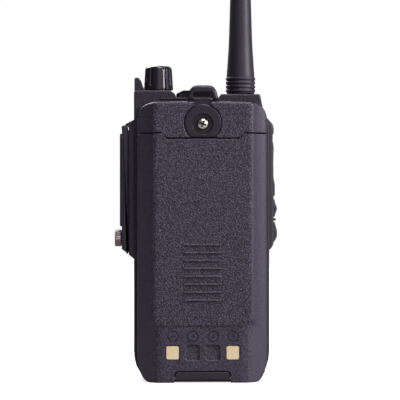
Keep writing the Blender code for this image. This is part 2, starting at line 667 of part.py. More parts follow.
def cut_pack_back(shell):
    """Grip ridges, contact windows, blank squares, the latch notch and the holes for its pin."""
    ridges = bmesh.new()
    foot, rim = PACK_BACK - RIDGE_RISE, PACK_BACK + RIDGE_RISE
    for step in range(RIDGE_COUNT):
        z = RIDGE_TOP_Z - step * RIDGE_PITCH
        high, low = z + RIDGE_HALF_HEIGHT, z - RIDGE_HALF_HEIGHT
        slope = [(PACK_BACK, low), (rim, z - 0.0003), (rim, z + 0.0002), (PACK_BACK, high)]
        prism(ridges, [(foot, low), *slope, (foot, high)], "X", -RIDGE_HALF_WIDTH, RIDGE_HALF_WIDTH)
    combine(shell, "UNION", ridges, "grip_ridges")
    squares = bmesh.new()
    for side in (-1, 1):
        x = side * CONTACT_X
        low, high = (x - 0.00315, CONTACT_Z - 0.00335), (x + 0.00315, CONTACT_Z + 0.00335)
        prism(squares, rounded_rectangle(low, high, 0.0008, 2), "Y", 0.0150, 0.0200)
        low, high = (side * 0.00445 - 0.0030, 0.0099), (side * 0.00445 + 0.0030, 0.0166)
        prism(squares, rounded_rectangle(low, high, 0.0008, 2), "Y", PACK_BACK - 0.0008, 0.0200)
        pin_room = sorted((side * 0.0130, side * 0.0142))
        rod(squares, (LATCH_AXIS_Y, LATCH_AXIS_Z), "X", *pin_room, 0.0008, sides=12)
    combine(shell, "DIFFERENCE", squares, "contact_windows")
    notch = bmesh.new()
    prism(notch, latch_outline(LATCH_HALF_WIDTH + 0.0004, 0.0052, 0.0018), "Y", 0.0138, 0.0200)
    combine(shell, "DIFFERENCE", notch, "latch_notch")
    sockets = bmesh.new()
    for side in (-1, 1):
        socket_ends = sorted((side * 0.0120, side * 0.0135))
        rod(sockets, (LATCH_AXIS_Y, LATCH_AXIS_Z), "X", *socket_ends, 0.0008, sides=12)
    combine(shell, "DIFFERENCE", sockets, "pin_sockets")


def battery_latch():
    """Sprung flap at the foot of the pack, on its pin."""
    bm = bmesh.new()
    centre = (LATCH_AXIS_Y, LATCH_AXIS_Z)
    outline = [
        (0.0189, 0.00445), (0.0187, 0.00475), (0.0177, 0.00475), (0.0175, 0.0045), (0.0175, 0.0034),
        (0.0163, 0.0029), (0.0148, 0.0025), (0.0148, 0.0013), *arc(centre, 0.0015, 210, 360, 6),
    ]
    prism(bm, outline, "X", -LATCH_HALF_WIDTH, LATCH_HALF_WIDTH)
    latch = part("battery_latch", bm, "case_plastic")
    shape = bmesh.new()
    prism(shape, latch_outline(LATCH_HALF_WIDTH + MERGE, 0.00476, 0.0017), "Y", 0.0100, 0.0300)
    combine(latch, "INTERSECT", shape, "face_shape")
    bore = bmesh.new()
    rod(bore, centre, "X", -0.0150, 0.0150, 0.00085, sides=12)
    combine(latch, "DIFFERENCE", bore, "pin_bore")
    chamber = bmesh.new()
    rod(chamber, centre, "X", -0.0034, 0.0034, 0.00122, sides=12)
    combine(latch, "DIFFERENCE", chamber, "spring_chamber")
    return latch


# ---------------------------------------------------------------- top controls and antenna
def volume_control():
    """Pot with its bushing, and the shaft and fluted knob that turn."""
    bm = bmesh.new()
    half = 0.0038
    block(bm, (KNOB_X - half, KNOB_Y - half, 0.1180), (KNOB_X + half, KNOB_Y + half, 0.1230))
    pot = part("volume_control", bm, "tinned_steel")
    bushing = bmesh.new()
    rod(bushing, (KNOB_X, KNOB_Y), "Z", 0.1225, 0.1322, 0.0031)
    combine(pot, "UNION", bushing, "bushing")
    bore = bmesh.new()
    rod(bore, (KNOB_X, KNOB_Y), "Z", 0.1203, 0.1330, 0.0019, sides=12)
    combine(pot, "DIFFERENCE", bore, "shaft_bore")
    shaft_profile = [(0.0, 0.1380), (0.0012, 0.1380), (0.0015, 0.1377), (0.0015, 0.1210), (0.0, 0.1210)]
    shaft = turned("volume_shaft", shaft_profile, (KNOB_X, KNOB_Y, 0.0), "Z", "tinned_steel", steps=12)

    bm = bmesh.new()
    radii = (KNOB_BASE_RADIUS, KNOB_TOP_RADIUS)
    verts = rod(bm, (KNOB_X, KNOB_Y), "Z", KNOB_LOW, KNOB_HIGH, *radii, sides=2 * KNOB_FLUTES)
    for vert in verts:
        arm = Vector((vert.co.x - KNOB_X, vert.co.y - KNOB_Y))
        if round(math.degrees(math.atan2(arm.y, arm.x)) / (180 / KNOB_FLUTES)) % 2:
            vert.co.x -= arm.x * KNOB_FLUTE_DEPTH
            vert.co.y -= arm.y * KNOB_FLUTE_DEPTH
    bm.faces.ensure_lookup_table()
    top = max(bm.faces, key=lambda face: face.calc_center_median().z)
    bevel_end(bm, top, 0.0009, 2)
    knob = part("volume_knob", bm, "gloss_plastic")
    hollow = bmesh.new()
    rod(hollow, (KNOB_X, KNOB_Y), "Z", 0.1290, 0.1334, 0.0040)
    combine(knob, "DIFFERENCE", hollow, "bushing_room")
    socket = bmesh.new()
    rod(socket, (KNOB_X, KNOB_Y), "Z", 0.1330, 0.1384, 0.0018, sides=12)
    combine(knob, "DIFFERENCE", socket, "shaft_socket")
    pivot("volume_axis", (KNOB_X, KNOB_Y, KNOB_LOW), knob, shaft)


def antenna():
    """Deck socket, and the connector, wound element and rubber sheath that screw onto it."""
    place = (ANTENNA_X, ANTENNA_Y, 0.0)
    socket = [
        (0.0, 0.1335), (0.0026, 0.1335), (0.0031, 0.1330), (0.0031, 0.1284), (0.0040, 0.1279),
        (0.0040, 0.1205), (0.0012, 0.1205), (0.0012, 0.1190), (0.0, 0.1190),
    ]
    turned("antenna_socket", socket, place, "Z", "gold_plate", steps=16)
    cup = [
        (0.0, 0.1362), (0.0045, 0.1362), (0.0049, 0.1358), (0.0049, 0.1289), (0.0035, 0.1289),
        (0.0035, 0.1340), (0.0, 0.1340),
    ]
    connector = turned("antenna_connector", cup, place, "Z", "tinned_steel", steps=16)

    outer = [
        (0.0, ANTENNA_HIGH), (0.0020, ANTENNA_HIGH - 0.0004), (0.0031, ANTENNA_HIGH - 0.0020),
        (0.0035, ANTENNA_HIGH - 0.0050), (0.0038, 0.2300), (0.0043, 0.1900), (0.0052, 0.1552),
        (0.0058, 0.1440), (0.00632, 0.1362),
    ]
    ridges, pitch = 4, 0.0018
    for ridge in range(ridges):
        high = 0.1358 - ridge * pitch
        outer += [(0.0068, high), (0.0068, high - 0.0011), (0.0063, high - 0.0013)]
    outer += [
        (0.0063, ANTENNA_LOW), (0.0052, ANTENNA_LOW), (0.0052, 0.1366), (0.0029, 0.1370),
        (0.0029, 0.1950), (0.0, 0.1960),
    ]
    sheath = turned("antenna_sheath", outer, place, "Z", "antenna_rubber", steps=20)

    turns, steps_per_turn, radius, pitch = 7, 8, 0.0018, 0.0078
    coil = []
    for i in range(turns * steps_per_turn + 1):
        angle = 2 * math.pi * i / steps_per_turn
        x = ANTENNA_X + radius * math.cos(angle)
        y = ANTENNA_Y + radius * math.sin(angle)
        coil.append((x, y, 0.1372 + pitch * i / steps_per_turn))
    element = wire("antenna_element", coil, 0.0009, "copper_wire")
    pivot("antenna_axis", (ANTENNA_X, ANTENNA_Y, ANTENNA_LOW), connector, sheath, element)


# ---------------------------------------------------------------- side controls
def side_keys():
    """Rubber surround in the side pocket, with the talk key and three small keys."""
    span = (SIDE_Y - 0.0066, SIDE_Y + 0.0066)
    bm = bmesh.new()
    outline = [(-0.0285, 0.0572), (-0.0304, 0.0577), (-0.0314, 0.0590), (RUBBER_OUTER, 0.0610),
               (RUBBER_OUTER, 0.1130), (-0.0311, 0.1152), (-0.0298, 0.1174), (-0.0285, 0.1182)]
    prism(bm, outline, "Y", *span)
    rubber = part("side_key_rubber", bm, "soft_rubber")
    windows = bmesh.new()
    inner, half, margin = SIDE_KEY_INNER, SIDE_KEY_HALF_WIDTH, SIDE_KEY_MARGIN
    keys = {
        "side_key_upper": [
            (inner, 0.1099), (-0.0322, 0.1099), (-0.0328, 0.1106), (-0.0328, 0.1130), (-0.0322, 0.1150),
            (-0.0308, 0.1164), (inner, 0.1164),
        ],
        "ptt_button": [
            (inner, 0.0826), (-0.0326, 0.0826), (-0.0330, 0.0832), (-0.0330, 0.0875), (-0.0323, 0.0905),
            (-0.0321, 0.0980), (-0.0323, 0.1040), (-0.0321, 0.1066), (-0.0315, 0.1072), (inner, 0.1072),
        ],
        "side_key_middle": [
            (inner, 0.0729), (-0.0332, 0.0729), (-0.0336, 0.0745), (-0.0343, 0.0764), (-0.0342, 0.0772),
            (-0.0335, 0.0790), (-0.0331, 0.0809), (inner, 0.0809),
        ],
        "side_key_lower": [
            (inner, 0.0606), (-0.0322, 0.0606), (-0.0334, 0.0622), (-0.0343, 0.0642), (-0.0343, 0.0664),
            (-0.0338, 0.0685), (-0.0332, 0.0706), (inner, 0.0706),
        ],
    }
    for name, key_outline in keys.items():
        heights = [v for _, v in key_outline]
        low, high = min(heights), max(heights)
        window_low = (SIDE_Y - half - margin, low - margin)
        window_high = (SIDE_Y + half + margin, high + margin)
        prism(windows, rounded_rectangle(window_low, window_high, 0.0014, 2), "X", -0.0400, -0.0200)
        bm = bmesh.new()
        prism(bm, key_outline, "Y", SIDE_Y - half, SIDE_Y + half)
        key = part(name, bm, "soft_rubber")
        corners = bmesh.new()
        face = rounded_rectangle((SIDE_Y - half, low), (SIDE_Y + half, high), 0.0012, 2)
        prism(corners, face, "X", -0.0400, -0.0200)
        combine(key, "INTERSECT", corners, "corners")
        pivot(f"{name}_slide", (inner, SIDE_Y, (low + high) / 2), key)
    combine(rubber, "DIFFERENCE", windows, "key_windows")


def accessory_port():
    """Contact block on the side, its swinging cover and the thumbscrew that holds the cover shut."""
    span = (SIDE_Y - 0.0070, SIDE_Y + 0.0070)
    bm = bmesh.new()
    outline = [(0.0307, 0.0538), (0.0327, 0.0556), (0.0327, 0.1146), (0.0318, 0.1155), (0.0307, 0.1159)]
    prism(bm, outline, "Y", *span)
    base = part("accessory_socket", bm, "gloss_plastic")
    cuts = bmesh.new()
    recess = rounded_rectangle((SIDE_Y - 0.0040, 0.0760), (SIDE_Y + 0.0040, 0.1000), 0.0015, 2)
    prism(cuts, recess, "X", 0.0320, 0.0340)
    rod(cuts, (SIDE_Y, THUMBSCREW_Z), "X", 0.0290, 0.0340, 0.0017, sides=12)
    combine(base, "DIFFERENCE", cuts, "contact_recess")

    radius = COVER_HINGE_X - COVER_INNER
    bm = bmesh.new()
    outline = [
        (COVER_INNER, 0.0572), (COVER_OUTER - 0.0004, 0.0584), (COVER_OUTER, 0.0592), (COVER_OUTER, 0.1129),
        *arc((COVER_HINGE_X, COVER_HINGE_Z), radius, 40, 180, 6),
    ]
    prism(bm, outline, "Y", *span)
    cover = part("accessory_cover", bm, "gloss_plastic")
    strip = bmesh.new()
    strip_face = rounded_rectangle((SIDE_Y - 0.0046, 0.0686), (SIDE_Y + 0.0046, 0.1106), 0.0016, 2)
    prism(strip, strip_face, "X", 0.0350, 0.0368)
    combine(cover, "UNION", strip, "raised_strip")
    hole = bmesh.new()
    rod(hole, (SIDE_Y, THUMBSCREW_Z), "X", 0.0310, 0.0380, 0.0016, sides=12)
    combine(cover, "DIFFERENCE", hole, "screw_hole")

    bm = bmesh.new()
    head = rod(bm, (SIDE_Y, THUMBSCREW_Z), "X", COVER_OUTER + GAP, 0.0391, 0.0038, sides=2 * KNURLS)
    for vert in head:
        arm = Vector((vert.co.y - SIDE_Y, vert.co.z - THUMBSCREW_Z))
        if round(math.degrees(math.atan2(arm.y, arm.x)) / (180 / KNURLS)) % 2:
            vert.co.y -= arm.x * KNURL_DEPTH
            vert.co.z -= arm.y * KNURL_DEPTH
    screw = part("thumbscrew", bm, "gunmetal")
    shank = bmesh.new()
    rod(shank, (SIDE_Y, THUMBSCREW_Z), "X", 0.0282, 0.0370, 0.0012, sides=12)
    combine(screw, "UNION", shank, "shank")
    swing = pivot("cover_axis", (COVER_HINGE_X, SIDE_Y, COVER_HINGE_Z), cover)
    turn = pivot("thumbscrew_axis", (COVER_OUTER, SIDE_Y, THUMBSCREW_Z), screw)
    nest(turn, swing)


# ---------------------------------------------------------------- front keys
def key_places():
    """Each front key's lower and upper corner in X and Z."""
    places = {}
    for row, z in enumerate(KEY_ROWS):
        for column, x in enumerate(KEY_COLUMNS):
            places[f"key_{row * len(KEY_COLUMNS) + column + 1:02d}"] = (x, z)
    places["function_key_left"] = (-KEY_COLUMNS[2], FUNCTION_KEY_Z)
    places["function_key_right"] = (KEY_COLUMNS[2], FUNCTION_KEY_Z)
    half_w, half_h = KEY_WIDTH / 2, KEY_HEIGHT / 2
    return {
        name: ((x - half_w, z - half_h), (x + half_w, z + half_h))
        for name, (x, z) in places.items()
    }


def front_keys():
    """The number keys and two function keys, each its own piece."""
    for name, (low, high) in key_places().items():
        bm = bmesh.new()
        face = prism(bm, rounded_rectangle(low, high, 0.0013, 2), "Y", KEY_BACK, KEY_FRONT)
        bevel_end(bm, face, 0.0004, 1)
        key = part(name, bm, "key_rubber")
        pivot(f"{name}_slide", ((low[0] + high[0]) / 2, KEY_BACK, (low[1] + high[1]) / 2), key)


def build():
    """Makes every piece."""
    front_case()
    chassis()
    electronics()
    rear_cover()
    strap_loop()
    battery()
    volume_control()
    antenna()
    side_keys()
    accessory_port()
    front_keys()


build()
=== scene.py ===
"""The looks of a handheld aviation radio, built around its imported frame.

Metres, +Z up, in the frame's own axes: the display faces -Y, the battery faces +Y, the accessory port +X.
"""

import json
import logging
import math
from collections.abc import Callable, Sequence
from dataclasses import dataclass, field
from enum import Enum
from functools import cached_property
from itertools import pairwise
from typing import Any

import bmesh
import bpy
from mathutils import Matrix, Vector


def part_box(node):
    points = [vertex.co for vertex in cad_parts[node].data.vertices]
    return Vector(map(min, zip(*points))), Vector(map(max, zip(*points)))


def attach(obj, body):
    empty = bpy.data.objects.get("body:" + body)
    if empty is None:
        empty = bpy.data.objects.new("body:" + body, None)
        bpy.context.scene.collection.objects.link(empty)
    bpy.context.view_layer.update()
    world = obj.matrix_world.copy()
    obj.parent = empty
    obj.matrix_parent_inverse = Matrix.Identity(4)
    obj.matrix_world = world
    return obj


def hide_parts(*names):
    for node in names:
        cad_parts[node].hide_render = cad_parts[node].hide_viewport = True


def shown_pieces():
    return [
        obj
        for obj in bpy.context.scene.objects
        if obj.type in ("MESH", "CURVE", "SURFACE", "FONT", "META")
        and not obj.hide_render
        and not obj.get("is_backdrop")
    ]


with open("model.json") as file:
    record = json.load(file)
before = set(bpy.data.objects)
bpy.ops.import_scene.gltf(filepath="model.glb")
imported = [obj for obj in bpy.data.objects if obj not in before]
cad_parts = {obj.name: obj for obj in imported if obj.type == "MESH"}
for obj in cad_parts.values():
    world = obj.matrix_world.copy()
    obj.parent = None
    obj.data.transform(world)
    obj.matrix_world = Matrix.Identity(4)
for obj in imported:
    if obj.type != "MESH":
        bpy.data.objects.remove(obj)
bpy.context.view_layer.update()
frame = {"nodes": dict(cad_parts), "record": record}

log = logging.getLogger("radio")

MM = 0.001
GAP = 0.3 * MM
SHARP_ANGLE = math.radians(38)
OVER = 1.0 * MM                     # how far a cutter runs past the face that it cuts
KNOB_AXIS = (19.3 * MM, -7.0 * MM)
ANTENNA_AXIS = (-17.8 * MM, -7.0 * MM)
SIDE_MIDDLE = -9.0 * MM             # where the side keys and the accessory port are centred

Point = tuple[float, float]
Outline = list[Point]
Colour = tuple[float, float, float]


class Axis(Enum):
    """The axis along which an outline is swept."""

    X = "X"
    Y = "Y"
    Z = "Z"

    def place(self, u: float, v: float, depth: float) -> Vector:
        """The point at outline coordinates (u, v) and a depth along the axis."""
        return Vector({"X": (depth, u, v), "Y": (u, depth, v), "Z": (u, v, depth)}[self.value])


class Operation(Enum):
    """How one solid changes another."""

    CUT = "DIFFERENCE"
    JOIN = "UNION"
    KEEP = "INTERSECT"


# ---------------------------------------------------------------- outlines
def metres(*points: Sequence[float]) -> list[tuple[float, ...]]:
    """Points that are given in millimetres, in metres."""
    return [tuple(value * MM for value in point) for point in points]


def arc(centre: Point, radius: float, start: float, end: float, steps: int = 8) -> Outline:
    """Points along an arc.

    Args:
        centre: The arc's centre.
        radius: Its radius.
        start: Its first angle in degrees.
        end: Its last angle in degrees.
        steps: The number of chords.

    Returns:
        The arc's points, both ends included.
    """
    angles = [math.radians(start + (end - start) * i / steps) for i in range(steps + 1)]
    return [(centre[0] + radius * math.cos(a), centre[1] + radius * math.sin(a)) for a in angles]


def ring(centre: Point, radius: float, sides: int = 48) -> Outline:
    """A circle as an outline of that many sides."""
    return arc(centre, radius, 0, 360, sides)[:-1]


def filleted(corners: Sequence[tuple[float, float, float]], steps: int = 5) -> Outline:
    """An outline with rounded corners.

    Args:
        corners: Each corner as its two coordinates and its radius, anticlockwise.
        steps: The number of chords in each rounded corner.

    Returns:
        The outline's points.
    """
    points: Outline = []
    for i, (u, v, radius) in enumerate(corners):
        here = Vector((u, v))
        before = Vector(corners[i - 1][:2]) - here
        after = Vector(corners[(i + 1) % len(corners)][:2]) - here
        half = before.angle(after) / 2
        if radius <= 0 or half > math.radians(89):
            points.append((u, v))
            continue
        reach = min(radius / math.tan(half), 0.48 * min(before.length, after.length))
        middle = here + (before.normalized() + after.normalized()).normalized() * (reach / math.cos(half))
        first = here + before.normalized() * reach - middle
        last = here + after.normalized() * reach - middle
        start = math.atan2(first.y, first.x)
        sweep = math.remainder(math.atan2(last.y, last.x) - start, math.tau)
        points += arc(tuple(middle), first.length, math.degrees(start), math.degrees(start + sweep), steps)
    return points


def rounded(low: Point, high: Point, radius: float, steps: int = 5) -> Outline:
    """A rectangle with rounded corners, from its lowest and highest corner."""
    (a, b), (c, d) = low, high
    return filleted([(c, b, radius), (c, d, radius), (a, d, radius), (a, b, radius)], steps)


def plate_mm(low: Point, high: Point, radius: float, steps: int = 5) -> Outline:
    """A rectangle with rounded corners whose corners and radius are given in millimetres."""
    return rounded(*metres(low, high), radius * MM, steps)


def strip(middle: float, half: float, low: float, high: float, radius: float, steps: int = 5) -> Outline:
    """A rounded rectangle to both sides of a middle line, between two heights."""
    return rounded((middle - half, low), (middle + half, high), radius, steps)


def smooth_path(points: Sequence[Point], steps: int = 4) -> Outline:
    """A smooth curve through a few points, with that many chords between each two.

    Args:
        points: The points it passes through.
        steps: The chords between each two points.

    Returns:
        The curve's points.
    """
    knots = [points[0], *points, points[-1]]
    path: Outline = []
    for i in range(1, len(knots) - 2):
        p0, p1, p2, p3 = (Vector(p) for p in knots[i - 1:i + 3])
        for k in range(steps):
            t = k / steps
            bend = (2 * p0 - 5 * p1 + 4 * p2 - p3) * t * t + (3 * p1 - p0 - 3 * p2 + p3) * t ** 3
            path.append(tuple((2 * p1 + (p2 - p0) * t + bend) / 2))
    return [*path, tuple(points[-1])]


def mirrored(half: Outline) -> Outline:
    """A whole outline from its +u half, which starts and ends on the middle line."""
    return half + [(-u, v) for u, v in reversed(half) if u > 1e-6]


def inset(outline: Outline, amount: float) -> Outline:
    """An anticlockwise outline moved inwards by an amount, or outwards by a negative one.

    Args:
        outline: The outline, anticlockwise.
        amount: How far it moves inwards.

    Returns:
        The moved outline.
    """
    if amount == 0:
        return list(outline)
    moved: Outline = []
    for i, point in enumerate(outline):
        here = Vector(point)
        before = (here - Vector(outline[i - 1])).normalized()
        after = (Vector(outline[(i + 1) % len(outline)]) - here).normalized()
        normals = Vector((-before.y, before.x)), Vector((-after.y, after.x))
        share = amount / max(0.35, 1 + normals[0].dot(normals[1]))
        moved.append(tuple(here + (normals[0] + normals[1]) * share))
    return moved


def shrunk(outline: Outline, amount: float) -> Outline:
    """An outline drawn in towards its middle, by an amount at each side, top and foot.

    Args:
        outline: The outline.
        amount: How much each side draws in.

    Returns:
        The smaller outline.
    """
    us, vs = [p[0] for p in outline], [p[1] for p in outline]
    middle = ((max(us) + min(us)) / 2, (max(vs) + min(vs)) / 2)
    scale = (1 - 2 * amount / (max(us) - min(us)), 1 - 2 * amount / (max(vs) - min(vs)))
    return [tuple(middle[k] + (p[k] - middle[k]) * scale[k] for k in (0, 1)) for p in outline]


def ease(low: float, high: float, x: float) -> float:
    """0 below low, 1 above high, and a smooth rise between them."""
    t = min(1.0, max(0.0, (x - low) / (high - low)))
    return t * t * (3 - 2 * t)


def along(table: Sequence[Point], x: float) -> float:
    """The height of a line of straight stretches at x, held level past its ends."""
    if x <= table[0][0]:
        return table[0][1]
    for (a, low), (b, high) in pairwise(table):
        if x <= b:
            return low + (high - low) * (x - a) / (b - a)
    return table[-1][1]


# ---------------------------------------------------------------- stations along a sweep
def quarter(radius: float, steps: int) -> list[Point]:
    """(distance from the end, inset) along a rounded end, from the end inwards."""
    angles = [math.pi / 2 * i / steps for i in range(steps + 1)]
    return [(radius * (1 - math.cos(a)), radius * (1 - math.sin(a))) for a in angles]


def ends(low: float, high: float, low_round: float = 0.0, high_round: float = 0.0,
         steps: int = 4) -> list[Point]:
    """Stations of a sweep with rounded ends.

    Args:
        low: Where the sweep starts.
        high: Where it ends.
        low_round: The edge radius at the start, or 0 for a sharp edge.
        high_round: The edge radius at the end.
        steps: The chords in each rounded edge.

    Returns:
        (depth, inset) pairs from low to high.
    """
    sign = 1 if high > low else -1
    first = [(low + sign * d, i) for d, i in quarter(low_round, steps)] if low_round else [(low, 0.0)]
    last = [(high - sign * d, i) for d, i in quarter(high_round, steps)] if high_round else [(high, 0.0)]
    return first + last[::-1]


def pocket(floor: float, face: float, lip: float, floor_round: float = 0.0, steps: int = 3) -> list[Point]:
    """Stations of a cutter that sinks a pocket from a face down to its floor and rounds its rim by lip.

    Args:
        floor: The depth of the pocket's floor.
        face: The depth of the face it sinks from.
        lip: The radius of its rim.
        floor_round: The radius along its floor.
        steps: The chords in each rounded edge.

    Returns:
        (depth, inset) pairs from the floor outwards.
    """
    sign = 1 if face > floor else -1
    foot = [(floor + sign * d, i) for d, i in quarter(floor_round, steps)] if floor_round else [(floor, 0.0)]
    rim = [(face - sign * d, -i) for d, i in quarter(lip, steps)][::-1]
    return foot + rim + [(face + sign * OVER, -lip)]


# ---------------------------------------------------------------- solids
class Form:
    """A closed mesh under construction."""

    def __init__(self) -> None:
        """Starts with nothing in it."""
        self.bm = bmesh.new()

    def loft(self, rings: Sequence[Sequence[Vector]], hoop: bool = False) -> "Form":
        """Adds a skin over rings of points.

        Args:
            rings: The rings; a ring of one point is a tip.
            hoop: Whether the last ring joins the first. Otherwise both ends are closed by a face.

        Returns:
            This form.
        """
        rows = [[self.bm.verts.new(p) for p in points] for points in rings]
        for low, high in pairwise([*rows, rows[0]] if hoop else rows):
            count = max(len(low), len(high))
            for i in range(count):
                j = (i + 1) % count
                corners = [low[i % len(low)], low[j % len(low)], high[j % len(high)], high[i % len(high)]]
                corners = list(dict.fromkeys(corners))
                if len(corners) > 2:
                    self.bm.faces.new(corners)
        for row in () if hoop else (rows[0], rows[-1]):
            if len(row) > 2:
                self.bm.faces.new(row)
        return self

    def sweep(self, outline: Outline, axis: Axis, stations: Sequence[Point],
              draw: Callable[[Outline, float], Outline] = inset) -> "Form":
        """Adds an outline swept along an axis.

        Args:
            outline: The outline, anticlockwise.
            axis: The axis it is swept along.
            stations: (depth, inset) pairs.
            draw: How the outline is drawn in, inset or shrunk.

        Returns:
            This form.
        """
        return self.loft([[axis.place(u, v, w) for u, v in draw(outline, amount)] for w, amount in stations])

    def turned(self, profile: Sequence[Point], centre: Point, axis: Axis, sides: int = 48,
               reach: Callable[[float, float], float] | None = None, hoop: bool = False) -> "Form":
        """Adds a turned shape.

        Args:
            profile: (radius, depth) pairs from one end to the other.
            centre: Where the axis stands, in outline coordinates.
            axis: The axis of turning.
            sides: The number of sides.
            reach: A factor on the radius at an angle and a depth, for flutes or knurls.
            hoop: Whether the profile is a closed loop away from the axis.

        Returns:
            This form.
        """
        rings = []
        for radius, depth in profile:
            if radius < 1e-7:
                rings.append([axis.place(*centre, depth)])
                continue
            row = []
            for i in range(sides):
                angle = math.tau * i / sides
                r = radius * (reach(angle, depth) if reach else 1.0)
                row.append(axis.place(centre[0] + r * math.cos(angle), centre[1] + r * math.sin(angle),
                                      depth))
            rings.append(row)
        return self.loft(rings, hoop)

    def text(self, body: str, size: float, place: Vector, thickness: float) -> "Form":
        """Adds raised figures that face -Y.

        Args:
            body: The figures.
            size: Their height.
            place: The middle of the line.
            thickness: How far they stand out of the place, to either side.

        Returns:
            This form.
        """
        curve = bpy.data.curves.new("figures", "FONT")
        curve.body = body
        curve.size = size
        curve.extrude = thickness
        curve.align_x = "CENTER"
        curve.align_y = "CENTER"
        curve.resolution_u = 4
        holder = bpy.data.objects.new("figures", curve)
        bpy.context.scene.collection.objects.link(holder)
        graph = bpy.context.evaluated_depsgraph_get()
        flat = bpy.data.meshes.new_from_object(holder.evaluated_get(graph), depsgraph=graph)
        flat.transform(Matrix.Translation(place) @ Matrix.Rotation(math.pi / 2, 4, "X"))
        self.bm.from_mesh(flat)
        bmesh.ops.remove_doubles(self.bm, verts=self.bm.verts[:], dist=1e-7)
        bpy.data.objects.remove(holder, do_unlink=True)
        bpy.data.meshes.remove(flat)
        return self

    def mesh(self, name: str) -> bpy.types.Mesh:
        """The form as a mesh with outward faces.

        Args:
            name: The mesh's name.

        Returns:
            The mesh; the form is used up.
        """
        bmesh.ops.recalc_face_normals(self.bm, faces=self.bm.faces[:])
        mesh = bpy.data.meshes.new(name)
        self.bm.to_mesh(mesh)
        self.bm.free()
        return mesh

    def change(self, operation: Operation, *tools: "Form") -> "Form":
        """Cuts this form with others, joins them to it, or keeps what they share.

        Args:
            operation: What the tools do.
            tools: The other forms, which are used up.

        Returns:
            This form.
        """
        objects = [bpy.data.objects.new("work", form.mesh("work")) for form in (self, *tools)]
        for item in objects:
            bpy.context.scene.collection.objects.link(item)
        for item in objects[1:]:
            modifier = objects[0].modifiers.new("change", "BOOLEAN")
            modifier.operation = operation.value
            modifier.solver = "EXACT"
            modifier.object = item
        graph = bpy.context.evaluated_depsgraph_get()
        result = bpy.data.meshes.new_from_object(objects[0].evaluated_get(graph), depsgraph=graph)
        self.bm = bmesh.new()
        self.bm.from_mesh(result)
        for item in objects:
            bpy.data.objects.remove(item, do_unlink=True)
        bpy.data.meshes.remove(result)
        return self

    def cut(self, *tools: "Form") -> "Form":
        """Takes the tools away from this form."""
        return self.change(Operation.CUT, *tools)

    def join(self, *tools: "Form") -> "Form":
        """Makes one solid of this form and the tools."""
        return self.change(Operation.JOIN, *tools)


def drill(radius: float, low: float, high: float, centre: Point, axis: Axis, sides: int = 24) -> Form:
    """A straight round cutter; its radius and its two ends are given in millimetres."""
    return Form().turned(metres((radius, low), (radius, high)), centre, axis, sides)


# ---------------------------------------------------------------- shader nodes
class Value:
    """A node's socket that takes part in sums; each operation adds a Math node."""

    def __init__(self, graph: "Graph", socket: bpy.types.NodeSocket) -> None:
        """Wraps one output socket of a graph."""
        self.graph = graph
        self.socket = socket

    def math(self, operation: str, *others: "Number", first: "Number | None" = None) -> "Value":
        """The result of a Math node.

        Args:
            operation: The node's operation.
            others: The operands after this one.
            first: What stands before this value, for the reflected forms.

        Returns:
            The node's value.
        """
        operands = ([] if first is None else [first]) + [self, *others]
        return self.graph.node("ShaderNodeMath", {"operation": operation}, dict(enumerate(operands)))[0]

    def __add__(self, other: "Number") -> "Value":
        """self + other."""
        return self.math("ADD", other)

    __radd__ = __add__

    def __sub__(self, other: "Number") -> "Value":
        """self - other."""
        return self.math("SUBTRACT", other)

    def __rsub__(self, other: "Number") -> "Value":
        """other - self."""
        return self.math("SUBTRACT", first=other)

    def __mul__(self, other: "Number") -> "Value":
        """self * other."""
        return self.math("MULTIPLY", other)

    __rmul__ = __mul__

    def __truediv__(self, other: "Number") -> "Value":
        """self / other."""
        return self.math("DIVIDE", other)

    def __rtruediv__(self, other: "Number") -> "Value":
        """other / self."""
        return self.math("DIVIDE", first=other)

    def __abs__(self) -> "Value":
        """The value without its sign."""
        return self.math("ABSOLUTE")

    def rise(self, low: float, high: float) -> "Value":
        """0 below low, 1 above high, and a smooth rise between them."""
        sockets = {"Value": self, "From Min": low, "From Max": high}
        return self.graph.node("ShaderNodeMapRange", {"interpolation_type": "SMOOTHSTEP"}, sockets)[0]


Number = Value | float | int


class Made:
    """A node that was added, whose outputs are read by name or by number."""

    def __init__(self, graph: "Graph", node: bpy.types.Node) -> None:
        """Wraps one node of a graph."""
        self.graph = graph
        self.node = node

    def __getitem__(self, key: str | int) -> Value:
        """One output as a value."""
        return Value(self.graph, self.node.outputs[key])


